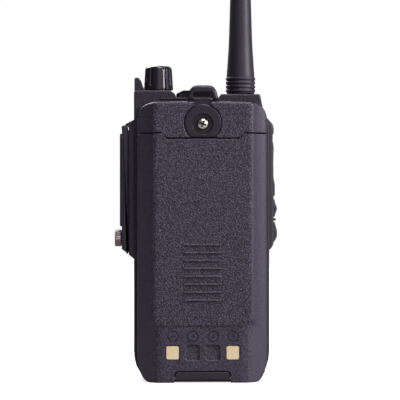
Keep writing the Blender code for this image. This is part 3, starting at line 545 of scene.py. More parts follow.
class Graph:
    """The nodes of one material, or of the world."""

    def __init__(self, holder: bpy.types.Material | bpy.types.World) -> None:
        """Clears the nodes of a material or a world.

        Args:
            holder: The material or the world that holds the nodes.
        """
        self.holder = holder
        self.holder.use_nodes = True
        self.tree = holder.node_tree
        self.tree.nodes.clear()

    @cached_property
    def place(self) -> Value:
        """The place on the piece, in the piece's own axes."""
        return self.node("ShaderNodeTexCoord", {}, {})["Object"]

    def node(self, kind: str, settings: dict[str, Any], sockets: dict[str | int, Any]) -> Made:
        """Adds a node.

        Args:
            kind: The node's type.
            settings: Its settings, set first; stops are a ramp's (position, colour) pairs.
            sockets: The values or links of its inputs, by name or number.

        Returns:
            The node.
        """
        made = self.tree.nodes.new(kind)
        for name, value in settings.items():
            if name == "stops":
                elements = made.color_ramp.elements
                while len(elements) < len(value):
                    elements.new(0.5)
                for element, (position, colour) in zip(elements, value):
                    element.position = position
                    element.color = (*colour, 1.0)
            else:
                setattr(made, name, value)
        for key, value in sockets.items():
            if isinstance(value, Value):
                self.tree.links.new(value.socket, made.inputs[key])
            elif isinstance(value, tuple) and len(value) == 3 and made.inputs[key].type == "RGBA":
                made.inputs[key].default_value = (*value, 1.0)
            else:
                made.inputs[key].default_value = value
        return Made(self, made)

    def mix(self, factor: Number, low: Any, high: Any, blend: str = "MIX") -> Value:
        """A colour between two others."""
        settings = {"data_type": "RGBA", "blend_type": blend}
        return self.node("ShaderNodeMix", settings, {0: factor, 6: low, 7: high})[2]

    def stretched(self, scale: tuple[float, float, float]) -> Value:
        """The place on the piece, scaled along each axis."""
        return self.node("ShaderNodeVectorMath", {"operation": "MULTIPLY"}, {0: self.place, 1: scale})[0]

    def noise(self, size: float, detail: float = 2.0,
              stretch: tuple[float, float, float] = (1, 1, 1)) -> Value:
        """Cloudy noise from 0 to 1 whose features are about that size."""
        sockets = {"Vector": self.stretched(stretch), "Scale": 1 / size, "Detail": detail}
        return self.node("ShaderNodeTexNoise", {}, sockets)[0]

    def cells(self, size: float, feature: str = "F1",
              stretch: tuple[float, float, float] = (1, 1, 1)) -> Value:
        """The distance to the nearest cell centre or edge, for cells of about that size."""
        sockets = {"Vector": self.stretched(stretch), "Scale": 1 / size}
        return self.node("ShaderNodeTexVoronoi", {"feature": feature}, sockets)[0]

    def axis(self, letter: str) -> Value:
        """One coordinate of the place on the piece."""
        return self.node("ShaderNodeSeparateXYZ", {}, {0: self.place})[letter]

    def bump(self, height: Value, depth: float, under: Value | None = None) -> Value:
        """A normal from a height of 0 to 1, for relief of that depth in metres."""
        sockets = {"Strength": 1.0, "Distance": depth, "Height": height}
        if under is not None:
            sockets["Normal"] = under
        return self.node("ShaderNodeBump", {}, sockets)[0]

    def end(self, kind: str, shader: Value) -> None:
        """Ends the graph with an output node of that kind."""
        self.node(kind, {}, {"Surface": shader})

    def seen_or_not(self, seen: Made, unseen: Made) -> Value:
        """One shader for the camera and another for everything else."""
        direct = self.node("ShaderNodeLightPath", {}, {})["Is Camera Ray"]
        return self.node("ShaderNodeMixShader", {}, {0: direct, 1: unseen[0], 2: seen[0]})[0]

    def surface(self, sockets: dict[str, Any]) -> bpy.types.Material:
        """Ends the graph with a Principled shader of those sockets."""
        self.end("ShaderNodeOutputMaterial", self.node("ShaderNodeBsdfPrincipled", {}, sockets)["BSDF"])
        return self.holder


# ---------------------------------------------------------------- finishes
@dataclass(frozen=True)
class Finish:
    """A surface finish: its name, its colour, and how its nodes are drawn."""

    name: str
    colour: Colour
    roughness: float

    def paint(self, graph: Graph) -> bpy.types.Material:
        """Draws the finish into a graph; each kind of finish does it in its own way."""
        raise NotImplementedError

    def material(self) -> bpy.types.Material:
        """The finish's material, made at its first use."""
        name = f"{self.name}_look"
        return bpy.data.materials.get(name) or self.paint(Graph(bpy.data.materials.new(name)))

    def shade(self, factor: float) -> Colour:
        """The finish's colour, made lighter or darker."""
        return tuple(min(1.0, c * factor) for c in self.colour)


@dataclass(frozen=True)
class Moulded(Finish):
    """Moulded plastic with a leather-like grain and pale specks where the light catches it."""

    grain: float = 1.3 * MM
    depth: float = 0.16 * MM
    speck: float = 2.6
    crown: float = 0.0              # half width of the grained middle, or 0 where the grain is everywhere
    calm: float = 0.0               # height below which the grain is weaker

    def paint(self, graph: Graph) -> bpy.types.Material:
        """Draws grain, specks and a faint cloudiness.

        Args:
            graph: The graph to draw into.

        Returns:
            The finished material.
        """
        pits = graph.cells(self.grain)
        fine = graph.noise(self.grain * 0.75, 2.0)
        cloud = graph.noise(14 * MM, 2.0)
        mask: Number = 1.0
        if self.crown:
            across = abs(graph.axis("X"))
            mask = 1.0 - across.rise(self.crown, self.crown + 2.5 * MM) * 0.75
            mask = mask * (graph.axis("Z").rise(self.calm - MM, self.calm + MM) * 0.5 + 0.5)
        uneven = graph.noise(self.grain * 1.6, 2.0)
        speck = graph.cells(self.grain * 0.72).rise(0.64, 0.14) * (uneven * 0.9 + 0.40)
        base = graph.mix(cloud, self.shade(0.92), self.shade(1.08))
        base = graph.mix(pits.rise(0.30, 0.75) * 0.5 * mask, base, self.shade(0.5))
        pale = tuple(0.8 * tone + 0.2 * self.colour[1] * self.speck for tone in self.shade(self.speck))
        base = graph.mix((speck - 0.35) * mask + 0.20, base, pale)
        height = (pits * -0.8 + fine * 0.6) * mask + fine * 0.10
        rough = self.roughness + (fine - 0.5) * 0.16 - speck * mask * 0.10
        return graph.surface({
            "Base Color": base, "Roughness": rough, "Normal": graph.bump(height, self.depth),
            "Specular IOR Level": 0.5,
        })


@dataclass(frozen=True)
class Glossy(Finish):
    """Smooth plastic with faint flow clouds, hairline scratches and a few dust specks."""

    ripple: float = 0.004 * MM
    coat: float = 0.0
    specular: float = 0.4

    def paint(self, graph: Graph) -> bpy.types.Material:
        """Draws clouds, scratches and dust.

        Args:
            graph: The graph to draw into.

        Returns:
            The finished material.
        """
        cloud = graph.noise(9 * MM, 3.0)
        hair = graph.noise(0.35 * MM, 2.0, (0.06, 1.0, 0.25)).rise(0.62, 0.74)
        dust = graph.cells(2.6 * MM).rise(0.05, 0.02)
        base = graph.mix(cloud, self.shade(0.85), self.shade(1.20))
        base = graph.mix(dust * 0.5, base, self.shade(3.0))
        rough = self.roughness + (cloud - 0.5) * 0.08 + hair * 0.10 + dust * 0.25
        return graph.surface({
            "Base Color": base, "Roughness": rough, "Normal": graph.bump(cloud + hair * 0.3, self.ripple),
            "Coat Weight": self.coat, "Coat Roughness": 0.08, "Specular IOR Level": self.specular,
        })


@dataclass(frozen=True)
class Rubber(Finish):
    """Matt rubber: very fine grain, slightly greyed on its high spots."""

    grain: float = 0.4 * MM
    depth: float = 0.03 * MM

    def paint(self, graph: Graph) -> bpy.types.Material:
        """Draws the grain, and dust in it.

        Args:
            graph: The graph to draw into.

        Returns:
            The finished material.
        """
        grain = graph.noise(self.grain, 4.0)
        cloud = graph.noise(6 * MM, 3.0)
        base = graph.mix(cloud, self.shade(0.85), self.shade(1.15))
        base = graph.mix(grain.rise(0.52, 0.70) * 0.5, base, self.shade(1.5))
        rough = self.roughness + (grain - 0.5) * 0.15
        return graph.surface({
            "Base Color": base, "Roughness": rough, "Normal": graph.bump(grain, self.depth),
            "Sheen Weight": 0.08, "Sheen Roughness": 0.5,
        })


@dataclass(frozen=True)
class Metal(Finish):
    """Bare or plated metal with tool marks along one direction and a little tarnish."""

    stretch: tuple[float, float, float] = (0.05, 1.0, 1.0)
    mark: float = 0.25 * MM
    depth: float = 0.006 * MM
    tarnish: float = 0.65
    recess_shade_y: float = 0.0              # height along +Y below which the metal is painted dark, as painted shade in a recess; 0 for none
    metallic: float = 1.0

    def paint(self, graph: Graph) -> bpy.types.Material:
        """Draws tool marks, tarnish and painted shade low in a recess.

        Args:
            graph: The graph to draw into.

        Returns:
            The finished material.
        """
        marks = graph.noise(self.mark, 3.0, self.stretch)
        stain = graph.noise(2.5 * MM, 4.0).rise(0.45, 0.75)
        base = graph.mix(marks, self.shade(0.88), self.shade(1.06))
        base = graph.mix(stain * 0.35, base, self.shade(self.tarnish))
        if self.recess_shade_y:
            # painted shade: below this depth the metal turns near black, standing for the shade in the recess
            unshaded = graph.axis("Y").rise(self.recess_shade_y - 0.35 * MM, self.recess_shade_y)
            base = graph.mix(unshaded, (0.03, 0.027, 0.03), base)
        rough = self.roughness + (marks - 0.5) * 0.18 + stain * 0.10
        return graph.surface({
            "Base Color": base, "Roughness": rough, "Metallic": self.metallic,
            "Normal": graph.bump(marks, self.depth),
        })


@dataclass(frozen=True)
class Cast(Finish):
    """Die-cast metal, blasted: a sandy surface with darker pits."""

    grain: float = 0.5 * MM

    def paint(self, graph: Graph) -> bpy.types.Material:
        """Draws the blasted surface.

        Args:
            graph: The graph to draw into.

        Returns:
            The finished material.
        """
        sand = graph.noise(self.grain, 4.0)
        pits = graph.cells(1.7 * MM).rise(0.14, 0.05)
        base = graph.mix(sand, self.shade(0.80), self.shade(1.08))
        base = graph.mix(pits * 0.5, base, self.shade(0.5))
        return graph.surface({
            "Base Color": base, "Roughness": self.roughness + (sand - 0.5) * 0.2, "Metallic": 0.9,
            "Normal": graph.bump(sand - pits * 0.6, 0.05 * MM),
        })


@dataclass(frozen=True)
class Board(Finish):
    """A circuit board: solder mask over tracks, with tinned pads and vias."""

    def paint(self, graph: Graph) -> bpy.types.Material:
        """Draws tracks, pads and vias.

        Args:
            graph: The graph to draw into.

        Returns:
            The finished material.
        """
        tracks = graph.cells(2.2 * MM, "DISTANCE_TO_EDGE", (1.0, 1.0, 0.5)).rise(0.10, 0.05)
        vias = graph.cells(3.1 * MM).rise(0.12, 0.08)
        weave = graph.noise(0.4 * MM, 2.0)
        base = graph.mix(tracks, self.colour, self.shade(1.8))
        base = graph.mix(weave * 0.3, base, self.shade(0.7))
        base = graph.mix(vias, base, (0.62, 0.60, 0.52))
        return graph.surface({
            "Base Color": base, "Roughness": self.roughness - vias * 0.1, "Metallic": vias * 0.9,
            "Normal": graph.bump(tracks * 0.7 + vias, 0.04 * MM), "Coat Weight": 0.25,
        })


@dataclass(frozen=True)
class Wrapped(Finish):
    """A cell's shrink wrap: satin film with fine creases and a seam line."""

    def paint(self, graph: Graph) -> bpy.types.Material:
        """Draws creases and the seam.

        Args:
            graph: The graph to draw into.

        Returns:
            The finished material.
        """
        crease = graph.noise(3 * MM, 4.0, (1.0, 1.0, 0.25))
        seam = abs(graph.axis("Z") - 62 * MM).rise(0.6 * MM, 0.3 * MM)
        base = graph.mix(crease, self.shade(0.8), self.shade(1.2))
        base = graph.mix(seam, base, self.shade(0.45))
        return graph.surface({
            "Base Color": base, "Roughness": self.roughness + (crease - 0.5) * 0.15,
            "Normal": graph.bump(crease + seam, 0.05 * MM), "Coat Weight": 0.4, "Coat Roughness": 0.15,
        })


@dataclass(frozen=True)
class Clear(Finish):
    """A hard-coated clear window with faint wipe marks."""

    alpha: float = 0.22

    def paint(self, graph: Graph) -> bpy.types.Material:
        """Draws the wipe marks, where the window is a little less clear.

        Args:
            graph: The graph to draw into.

        Returns:
            The finished material.
        """
        wipe = graph.noise(7 * MM, 4.0, (0.3, 1.0, 1.0))
        return graph.surface({
            "Base Color": self.colour, "Roughness": self.roughness + wipe * 0.05,
            "Alpha": self.alpha + wipe * 0.06, "Coat Weight": 0.6, "Coat Roughness": 0.03,
        })


@dataclass(frozen=True)
class Screen(Finish):
    """A reflective liquid-crystal panel with its dot grid and a faint painted glow."""

    def paint(self, graph: Graph) -> bpy.types.Material:
        """Draws the grid of dots, an uneven tone, and a faint painted glow in the panel's own colours.

        Args:
            graph: The graph to draw into.

        Returns:
            The finished material.
        """
        rows = graph.cells(0.45 * MM).rise(0.25, 0.45) * 0.6
        glow = graph.noise(16 * MM, 1.0)
        base = graph.mix(glow, self.shade(0.85), self.shade(1.12))
        base = graph.mix(rows, base, self.shade(0.8))
        # painted glow: the panel gives off a little light in its own colours
        return graph.surface({
            "Base Color": base, "Roughness": self.roughness, "Emission Color": base,
            "Emission Strength": 0.10,
            "Coat Weight": 0.3,
        })


@dataclass(frozen=True)
class Paint(Finish):
    """Printed ink with slightly worn, uneven cover."""

    def paint(self, graph: Graph) -> bpy.types.Material:
        """Draws thin spots in the ink.

        Args:
            graph: The graph to draw into.

        Returns:
            The finished material.
        """
        thin = graph.noise(0.35 * MM, 3.0)
        base = graph.mix(thin.rise(0.45, 0.75) * 0.5, self.colour, self.shade(0.6))
        return graph.surface({
            "Base Color": base, "Roughness": self.roughness + thin * 0.1,
            "Normal": graph.bump(thin, 0.01 * MM),
        })


PACK = Moulded("pack_plastic", (0.0285, 0.0230, 0.0410), 0.46, grain=0.90 * MM, speck=6.0, crown=0.0205,
               calm=24.4 * MM)
CASE = Moulded("case_plastic", (0.021, 0.0165, 0.033), 0.50, grain=1.1 * MM, depth=0.10 * MM, speck=2.0)
DASH = Moulded("dash_plastic", (0.034, 0.028, 0.047), 0.42, grain=0.7 * MM, speck=3.6)
SMOOTH = Glossy("smooth_plastic", (0.025, 0.020, 0.031), 0.42)
LOOP = Glossy("loop_plastic", (0.020, 0.0145, 0.029), 0.36)
PORT = Glossy("port_plastic", (0.062, 0.051, 0.086), 0.46)
KNOB = Glossy("knob_plastic", (0.018, 0.0145, 0.026), 0.24, coat=0.3)
TORCH = Glossy("torch_plastic", (0.006, 0.005, 0.008), 0.26, specular=0.25)
INNER = Glossy("inner_plastic", (0.040, 0.040, 0.045), 0.45)
SIDE_RUBBER = Rubber("side_rubber", (0.034, 0.029, 0.046), 0.62, depth=0.06 * MM)
KEY_RUBBER = Rubber("key_rubber", (0.060, 0.060, 0.066), 0.60)
GASKET = Rubber("gasket_rubber", (0.022, 0.022, 0.024), 0.75)
ANTENNA = Rubber("antenna_rubber", (0.021, 0.0165, 0.032), 0.48, grain=0.3 * MM, depth=0.012 * MM)
GOLD = Metal("gold_plate", (0.98, 0.78, 0.48), 0.30, (1.0, 1.0, 0.06), 0.20 * MM, tarnish=0.9, metallic=0.12)
# the screw's cross recess is painted dark below 19.45 mm along +Y, as painted shade
CHROME = Metal("chrome_screw", (0.92, 0.82, 0.79), 0.30, (1.0, 1.0, 1.0), 0.3 * MM, recess_shade_y=19.45 * MM)
STEEL = Metal("bright_steel", (0.60, 0.60, 0.61), 0.28)
GUNMETAL = Metal("gunmetal", (0.32, 0.265, 0.255), 0.34, (0.1, 1.0, 1.0))
TIN = Metal("tinned_steel", (0.58, 0.58, 0.57), 0.34, (1.0, 1.0, 0.1), 0.4 * MM)
COPPER = Metal("copper_wire", (0.72, 0.36, 0.22), 0.30)
CASTING = Cast("cast_aluminium", (0.50, 0.51, 0.52), 0.48)
BOARD = Board("board_green", (0.018, 0.115, 0.055), 0.38)
WRAP = Wrapped("cell_wrap", (0.045, 0.110, 0.300), 0.36)
CONE = Rubber("speaker_frame", (0.055, 0.050, 0.046), 0.85, grain=0.7 * MM)
WINDOW = Clear("window_clear", (0.020, 0.022, 0.024), 0.04)
LAMP = Glossy("led_clear", (0.75, 0.74, 0.66), 0.12, coat=0.6)
PANEL = Screen("display_glass", (0.30, 0.35, 0.26), 0.30)
INK = Paint("window_ink", (0.006, 0.006, 0.007), 0.30)
SEGMENT = Paint("segment_ink", (0.018, 0.022, 0.018), 0.35)
WHITE = Paint("printed_white", (0.72, 0.72, 0.70), 0.50)
GREY = Paint("printed_grey", (0.36, 0.34, 0.39), 0.40)


# ---------------------------------------------------------------- pieces
SLOTS = {part["node"]: part["material_slot"] for part in frame["record"]["subparts"]}
FRONT_KEYS = [*(f"key_{i:02d}" for i in range(1, 13)), "function_key_left", "function_key_right"]
BODIES = {node: body for body, nodes in frame["record"]["behaviour"]["bodies"].items() for node in nodes}


def lay_down(name: str, form: Form, finish: Finish, body: str) -> bpy.types.Object:
    """Puts a finished form into the scene as a piece that rides on a body.

    Args:
        name: The piece's name.
        form: Its shape, which is used up.
        finish: Its finish.
        body: The body that it moves with.

    Returns:
        The piece.
    """
    mesh = form.mesh(name)
    mesh.materials.clear()
    mesh.materials.append(finish.material())
    mesh.shade_smooth()
    mesh.set_sharp_from_angle(angle=SHARP_ANGLE)
    piece = bpy.data.objects.new(name, mesh)
    bpy.context.scene.collection.objects.link(piece)
    normals = piece.modifiers.new("even_normals", "WEIGHTED_NORMAL")
    normals.keep_sharp = True
    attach(piece, body)
    return piece


def stand_for(node: str, form: Form, finish: Finish, name: str = "") -> bpy.types.Object:
    """Makes the piece that is shown in place of a node, with its body.

    Args:
        node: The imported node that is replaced.
        form: The piece's shape, which is used up.
        finish: Its finish.
        name: Its name, where it isn't the node's own.

    Returns:
        The piece.
    """
    piece = lay_down(name or f"{node}_shown", form, finish, BODIES[node])
    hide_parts(node)
    return piece


def trim(name: str, form: Form, finish: Finish, beside: str) -> bpy.types.Object:
    """Makes a small extra piece that moves with a node, such as printing on it."""
    return lay_down(name, form, finish, BODIES[beside])


class Assembly:
    """A sub-assembly of the radio: it holds its sizes and builds its pieces."""

    def build(self) -> list[bpy.types.Object]:
        """Makes the sub-assembly's pieces."""
        raise NotImplementedError


# ---------------------------------------------------------------- front case
@dataclass
class FrontCase(Assembly):
    """The tray that faces the user: deck, guard fin, side pocket, window, grille and key holes."""

    edge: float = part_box("front_case")[1].x
    front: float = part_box("front_case")[0].y
    rear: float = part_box("front_case")[1].y
    wall: float = 2.2 * MM
    knob_deck: float = 129.7 * MM
    front_round: float = 2.6 * MM
    rear_round: float = 0.75 * MM
    ledge: float = -3.1 * MM
    knob: Point = KNOB_AXIS
    antenna: Point = ANTENNA_AXIS
    post_x: float = 21.5 * MM
    post_heights: Point = (12.5 * MM, 101.0 * MM)
    side_middle: float = SIDE_MIDDLE
    speaker_z: float = 109.8 * MM
    grille_radius: float = 10.8 * MM
    grille_pitch: float = 3.1 * MM
    key_clearance: float = 0.35 * MM

    def outline(self) -> Outline:
        """The case seen along Y, with its stepped deck and tucked-in foot."""
        foot = [(26.2, 1.0, 1.5), (29.3, 6.2, 4.0), (30.1, 9.4, 4.0), (30.4, 13.0, 4.0)]
        deck = [
            (30.4, 129.7, 1.0), (14.2, 129.7, 1.6), (12.0, 128.1, 1.2), (11.5, 126.6, 0.3),
            (-8.0, 126.6, 0.4), (-8.5, 128.1, 0.7), (-26.3, 128.1, 1.1), (-27.6, 120.8, 3.0),
            (-29.2, 117.0, 3.0), (-30.1, 114.5, 3.0), (-30.4, 112.0, 3.0),
        ]
        corners = [(23.8, 0.0, 1.0), *foot, *deck, *[(-x, z, r) for x, z, r in reversed(foot)],
                   (-23.8, 0.0, 1.0)]
        return filleted(metres(*corners), 4)

    def seat(self, grow: float) -> Outline:
        """The chassis seat seen along Y, grown by a clearance."""
        edge, low, high = 27.1 * MM + grow, 2.1 * MM - grow, 123.5 * MM + grow
        return mirrored([
            (0.0, low), (20.0 * MM + grow / 2, low), (edge - 1.6 * MM, 8.5 * MM - grow / 2),
            (edge, 12.0 * MM), (edge, 112.0 * MM), (edge - 3.0 * MM, high), (0.0, high),
        ])

    def body(self) -> Form:
        """The hollow tray with its fin and screw posts."""
        stations = ends(self.rear, self.front, self.rear_round, self.front_round, 5)
        tray = Form().sweep(self.outline(), Axis.Y, stations, shrunk)
        edge = self.edge - 0.2 * MM
        fin_corners = [
            (edge, 125.0 * MM, 0.0), (edge, 135.5 * MM, 1.1 * MM), (28.3 * MM, 135.4 * MM, 0.9 * MM),
            (27.0 * MM, 133.7 * MM, 2.0 * MM), (26.4 * MM, 131.6 * MM, 2.0 * MM),
            (25.7 * MM, 130.2 * MM, 1.2 * MM),
            (24.4 * MM, 129.5 * MM, 0.4 * MM), (24.4 * MM, 125.0 * MM, 0.0),
        ]
        fin = Form().sweep(filleted(fin_corners), Axis.Y, ends(-15.0 * MM, 0.4 * MM, 0.45 * MM, 0.45 * MM))
        lip_face = plate_mm((-8.1, 125.6), (18.6, 126.25), 0.28, 3)
        lip = Form().sweep(lip_face, Axis.Y, ends(0.5 * MM, self.rear + 0.5 * MM, 0.0, 0.25 * MM, 3))
        tray.join(fin, lip)
        cavity = plate_mm((-25.3, 3.0), (25.3, 124.4), 5.0, 3)
        hollow = Form().sweep(cavity, Axis.Y, [(self.front + self.wall, 0.0), (self.ledge + 0.5 * MM, 0.0)])
        seat = Form().sweep(self.seat(GAP), Axis.Y, pocket(self.ledge, self.rear, 0.25 * MM))
        tray.cut(hollow, seat)
        posts, bores = Form(), Form()
        for side in (-1, 1):
            for height in self.post_heights:
                centre = (side * self.post_x, height)
                posts.turned([(2.8 * MM, self.front + 1.0 * MM), (2.8 * MM, -1.9 * MM)], centre, Axis.Y, 20)
                bores.turned(metres((1.2, -12.0), (1.2, 0)), centre, Axis.Y, 14)
        return tray.join(posts).cut(bores)

    def face_cuts(self) -> list[Form]:
        """The shallow relief of the front, and then the holes through it."""
        keypad = Form().sweep(plate_mm((-22.4, 21.4), (22.4, 69.2), 2.4), Axis.Y,
                              pocket(self.front + 0.35 * MM, self.front, 0.2 * MM, 0.1 * MM))
        frame_step = Form().sweep(plate_mm((-23.6, 70.1), (23.6, 97.3), 3.4), Axis.Y,
                                  pocket(self.front + 0.25 * MM, self.front, 0.2 * MM, 0.1 * MM))
        dish = Form().sweep(ring((0.0, self.speaker_z), 12.4 * MM, 64), Axis.Y,
                            pocket(self.front + 0.3 * MM, self.front, 0.25 * MM, 0.15 * MM))
        lens = Form().sweep(plate_mm((-22.0, 71.0), (22.0, 96.0), 2.3), Axis.Y,
                            pocket(-18.1 * MM, self.front + 0.25 * MM, 0.15 * MM))
        through = (self.front + self.wall + 0.5 * MM, self.front + 0.35 * MM)
        holes = Form()
        window = plate_mm((-18.5, 74.0), (18.5, 93.0), 1.0)
        holes.sweep(window, Axis.Y, [(through[0], 0.0), (self.front - OVER, 0.0)])
        for key in FRONT_KEYS:
            low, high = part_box(key)
            margin = self.key_clearance
            corners = (low.x - margin, low.z - margin), (high.x + margin, high.z + margin)
            holes.sweep(rounded(*corners, 1.5 * MM), Axis.Y, pocket(through[0], through[1], 0.12 * MM))
        slots = Form()
        for row in range(-3, 4):
            half = math.sqrt(self.grille_radius ** 2 - (row * self.grille_pitch) ** 2)
            middle = self.speaker_z + row * self.grille_pitch
            slot = rounded((-half, middle - 0.75 * MM), (half, middle + 0.75 * MM), 0.74 * MM, 6)
            slots.sweep(slot, Axis.Y, pocket(through[0], self.front + 0.3 * MM, 0.15 * MM))
        slots.sweep(ring((0.0, 16.0 * MM), 0.7 * MM, 16), Axis.Y, pocket(through[0], self.front, 0.25 * MM))
        return [keypad, frame_step, dish, lens, holes, slots]

    def side_cuts(self) -> list[Form]:
        """The side-key pocket, the thumbscrew's hole, the deck's holes and the grip grooves."""
        low, high = self.side_middle - 6.9 * MM, self.side_middle + 6.9 * MM
        pocket_face = rounded((low, 56.9 * MM), (high, 118.5 * MM), 1.2 * MM)
        rubber = Form().sweep(pocket_face, Axis.X, metres((-28.2, 0), (-33.0, 0)))
        hole = drill(1.6, 27.0, 32.0, (self.side_middle, 63.3 * MM), Axis.X)
        deck = Form()
        lamp = (6.2 * MM, -5.5 * MM)
        for radius, top, centre, sides in ((3.5, 132.0, self.knob, 32), (4.3, 132.0, self.antenna, 32),
                                           (2.6, 130.0, lamp, 24)):
            deck.turned(metres((radius, 123.0), (radius, top)), centre, Axis.Z, sides)
        grips = Form()
        for side in (-1, 1):
            for step in range(7):
                z = (22.0 + 4.2 * step) * MM
                face = rounded((-15.4 * MM, z), (-3.2 * MM, z + 1.5 * MM), 0.74 * MM, 4)
                grips.sweep(face, Axis.X,
                            pocket(side * (self.edge - 0.55 * MM), side * self.edge, 0.2 * MM, 0.15 * MM))
        return [rubber, hole, deck, grips]

    def build(self) -> list[bpy.types.Object]:
        """Makes the case, and the printed volume dots on its deck."""
        case = self.body()
        for tool in (*self.face_cuts(), *self.side_cuts()):
            case.cut(tool)
        dots = Form()
        for i in range(7):
            angle = math.radians(215 + i * 18)
            place = (self.knob[0] + 8.1 * MM * math.cos(angle), self.knob[1] + 8.1 * MM * math.sin(angle))
            radius = (0.22 + 0.05 * i) * MM
            deck = self.knob_deck
            dots.turned([(radius, deck - 0.02 * MM), (radius, deck + 0.03 * MM)], place, Axis.Z, 16)
        return [
            stand_for("front_case", case, CASE),
            trim("volume_dots", dots, WHITE, "front_case"),
            trim("case_seal", self.seal(), GASKET, "front_case"),
        ]

    def seal(self) -> Form:
        """The soft lip round the chassis seat that closes the gap to the pack and the rear cover."""
        arm = [(20.6, 0.8), (26.8, 7.9), (28.4, 12.0), (28.4, 112.0), (27.4, 117.6), (25.2, 122.4)]
        face = mirrored([(0.0, 0.8 * MM), *metres(*arm), (0.0, 122.4 * MM)])
        low, high = self.rear - 0.4 * MM, self.rear + 0.24 * MM
        lip = Form().sweep(face, Axis.Y, [(low, 0.0), (high, 0.0)])
        return lip.cut(Form().sweep(self.seat(GAP), Axis.Y, [(low - OVER, 0.0), (high + OVER, 0.0)]))


# ---------------------------------------------------------------- battery and rear cover
@dataclass
class PackSkin:
    """The skin that the battery and the rear cover share: sides, rounded rim, cove and raised crown."""

    half: float = 28.75 * MM
    front: float = 2.0 * MM
    back: float = 19.0 * MM
    rim: float = 2.6 * MM
    rim_y: float = 11.6 * MM
    cove: tuple[Point, ...] = ((25.6, 15.0), (24.0, 16.4), (22.6, 18.0), (21.7, 18.7), (20.4, 19.0))
    crown: tuple[float, ...] = (19.3, 18.2, 18.0, 17.2, 16.5, 16.3, 14.0, 10.5, 7.0, 3.5, 0.0)
    narrowing: tuple[Point, ...] = ((0.0, 0.0), (0.0204, 0.0031), (0.0217, 0.0022), (0.0226, 0.0015),
                                    (0.0240, 0.0006), (0.0256, 0.0))
    panel: Point = (24.5 * MM, 27.8 * MM)

    def section(self) -> Outline:
        """The outline seen along Z, open along the front face."""
        rim = arc((self.half - self.rim, self.rim_y), self.rim, 5, 75, 6)
        cove = smooth_path([rim[-1], *metres(*self.cove)], 3)
        crown = [(x * MM, self.back) for x in self.crown]
        half = [(self.half, self.front), (self.half, self.rim_y - 0.4 * MM), *rim[:-1], *cove, *crown]
        return half + [(-x, y) for x, y in reversed(half[:-1])]

    def skin(self, foot: Sequence[Point], top: Sequence[Point], rounds: Point, heights: Sequence[float],
             narrow: bool = False) -> Form:
        """The skin between two end lines.

        Args:
            foot: The lower end line, as (distance from the middle, height) pairs.
            top: The upper end line.
            rounds: The edge radius at the foot and at the top.
            heights: Where extra rows of points run, as shares of the way up.
            narrow: Whether the crown narrows to the panel round the contacts.

        Returns:
            The solid.
        """
        section = self.section()
        last = len(section) - 1
        columns: list[list[Vector]] = []
        for i, (x, y) in enumerate(section):
            before, after = Vector(section[max(i - 1, 0)]), Vector(section[min(i + 1, last)])
            run = (after - before).normalized()
            low, high = along(foot, abs(x)), along(top, abs(x))
            flat = [self.flatness(line, abs(x)) for line in (foot, top)]
            rows = [(low + d, pull * flat[0]) for d, pull in quarter(rounds[0], 4)]
            reach = high - rounds[1] - low - rounds[0]
            rows += [(low + rounds[0] + reach * share, 0.0) for share in heights]
            rows += [(high - d, pull * flat[1]) for d, pull in quarter(rounds[1], 4)][::-1]
            column = []
            for z, pull in rows:
                slack = along(self.narrowing, abs(x)) * (1 - ease(*self.panel, z)) if narrow else 0.0
                column.append(Vector((x - math.copysign(slack, x) - run.y * pull, y + run.x * pull, z)))
                if i in (0, last):
                    column[-1].y = self.front
            columns.append(column)
        return self.close(columns)

    @staticmethod
    def flatness(line: Sequence[Point], x: float) -> float:
        """1 where an end line runs level, towards 0 where it is steep."""
        slope = (along(line, x + 0.2 * MM) - along(line, x - 0.2 * MM)) / (0.4 * MM)
        return 1 / math.hypot(1, slope)

    def close(self, columns: Sequence[Sequence[Vector]]) -> Form:
        """Closes the skin with its two ends and its flat front face.

        Args:
            columns: The skin's points, one column for each point of the section.

        Returns:
            The closed solid.
        """
        form = Form()
        new, face = form.bm.verts.new, form.bm.faces.new
        grid = [[new(point) for point in column] for column in columns]
        floor = [[new((column[k].x, self.front, column[k].z)) for column in columns] for k in (0, -1)]
        for i, (left, right) in enumerate(pairwise(grid)):
            for k in range(len(left) - 1):
                face((left[k], right[k], right[k + 1], left[k + 1]))
            face((left[0], right[0], floor[0][i + 1], floor[0][i]))
            face((left[-1], right[-1], floor[1][i + 1], floor[1][i]))
        face([*grid[0], *floor[1][1:-1], *grid[-1][::-1], *floor[0][-2:0:-1]])
        bmesh.ops.remove_doubles(form.bm, verts=form.bm.verts[:], dist=2e-6)
        bmesh.ops.dissolve_degenerate(form.bm, edges=form.bm.edges[:], dist=1e-6)
        return form


def disc_outline(margin: float, foot_angle: float) -> Outline:
    """The strap loop's round plate, cut off level at its foot and grown by a margin."""
    return arc((0.0, 114.4 * MM), 8.4 * MM + margin, -foot_angle, 180 + foot_angle, 56)


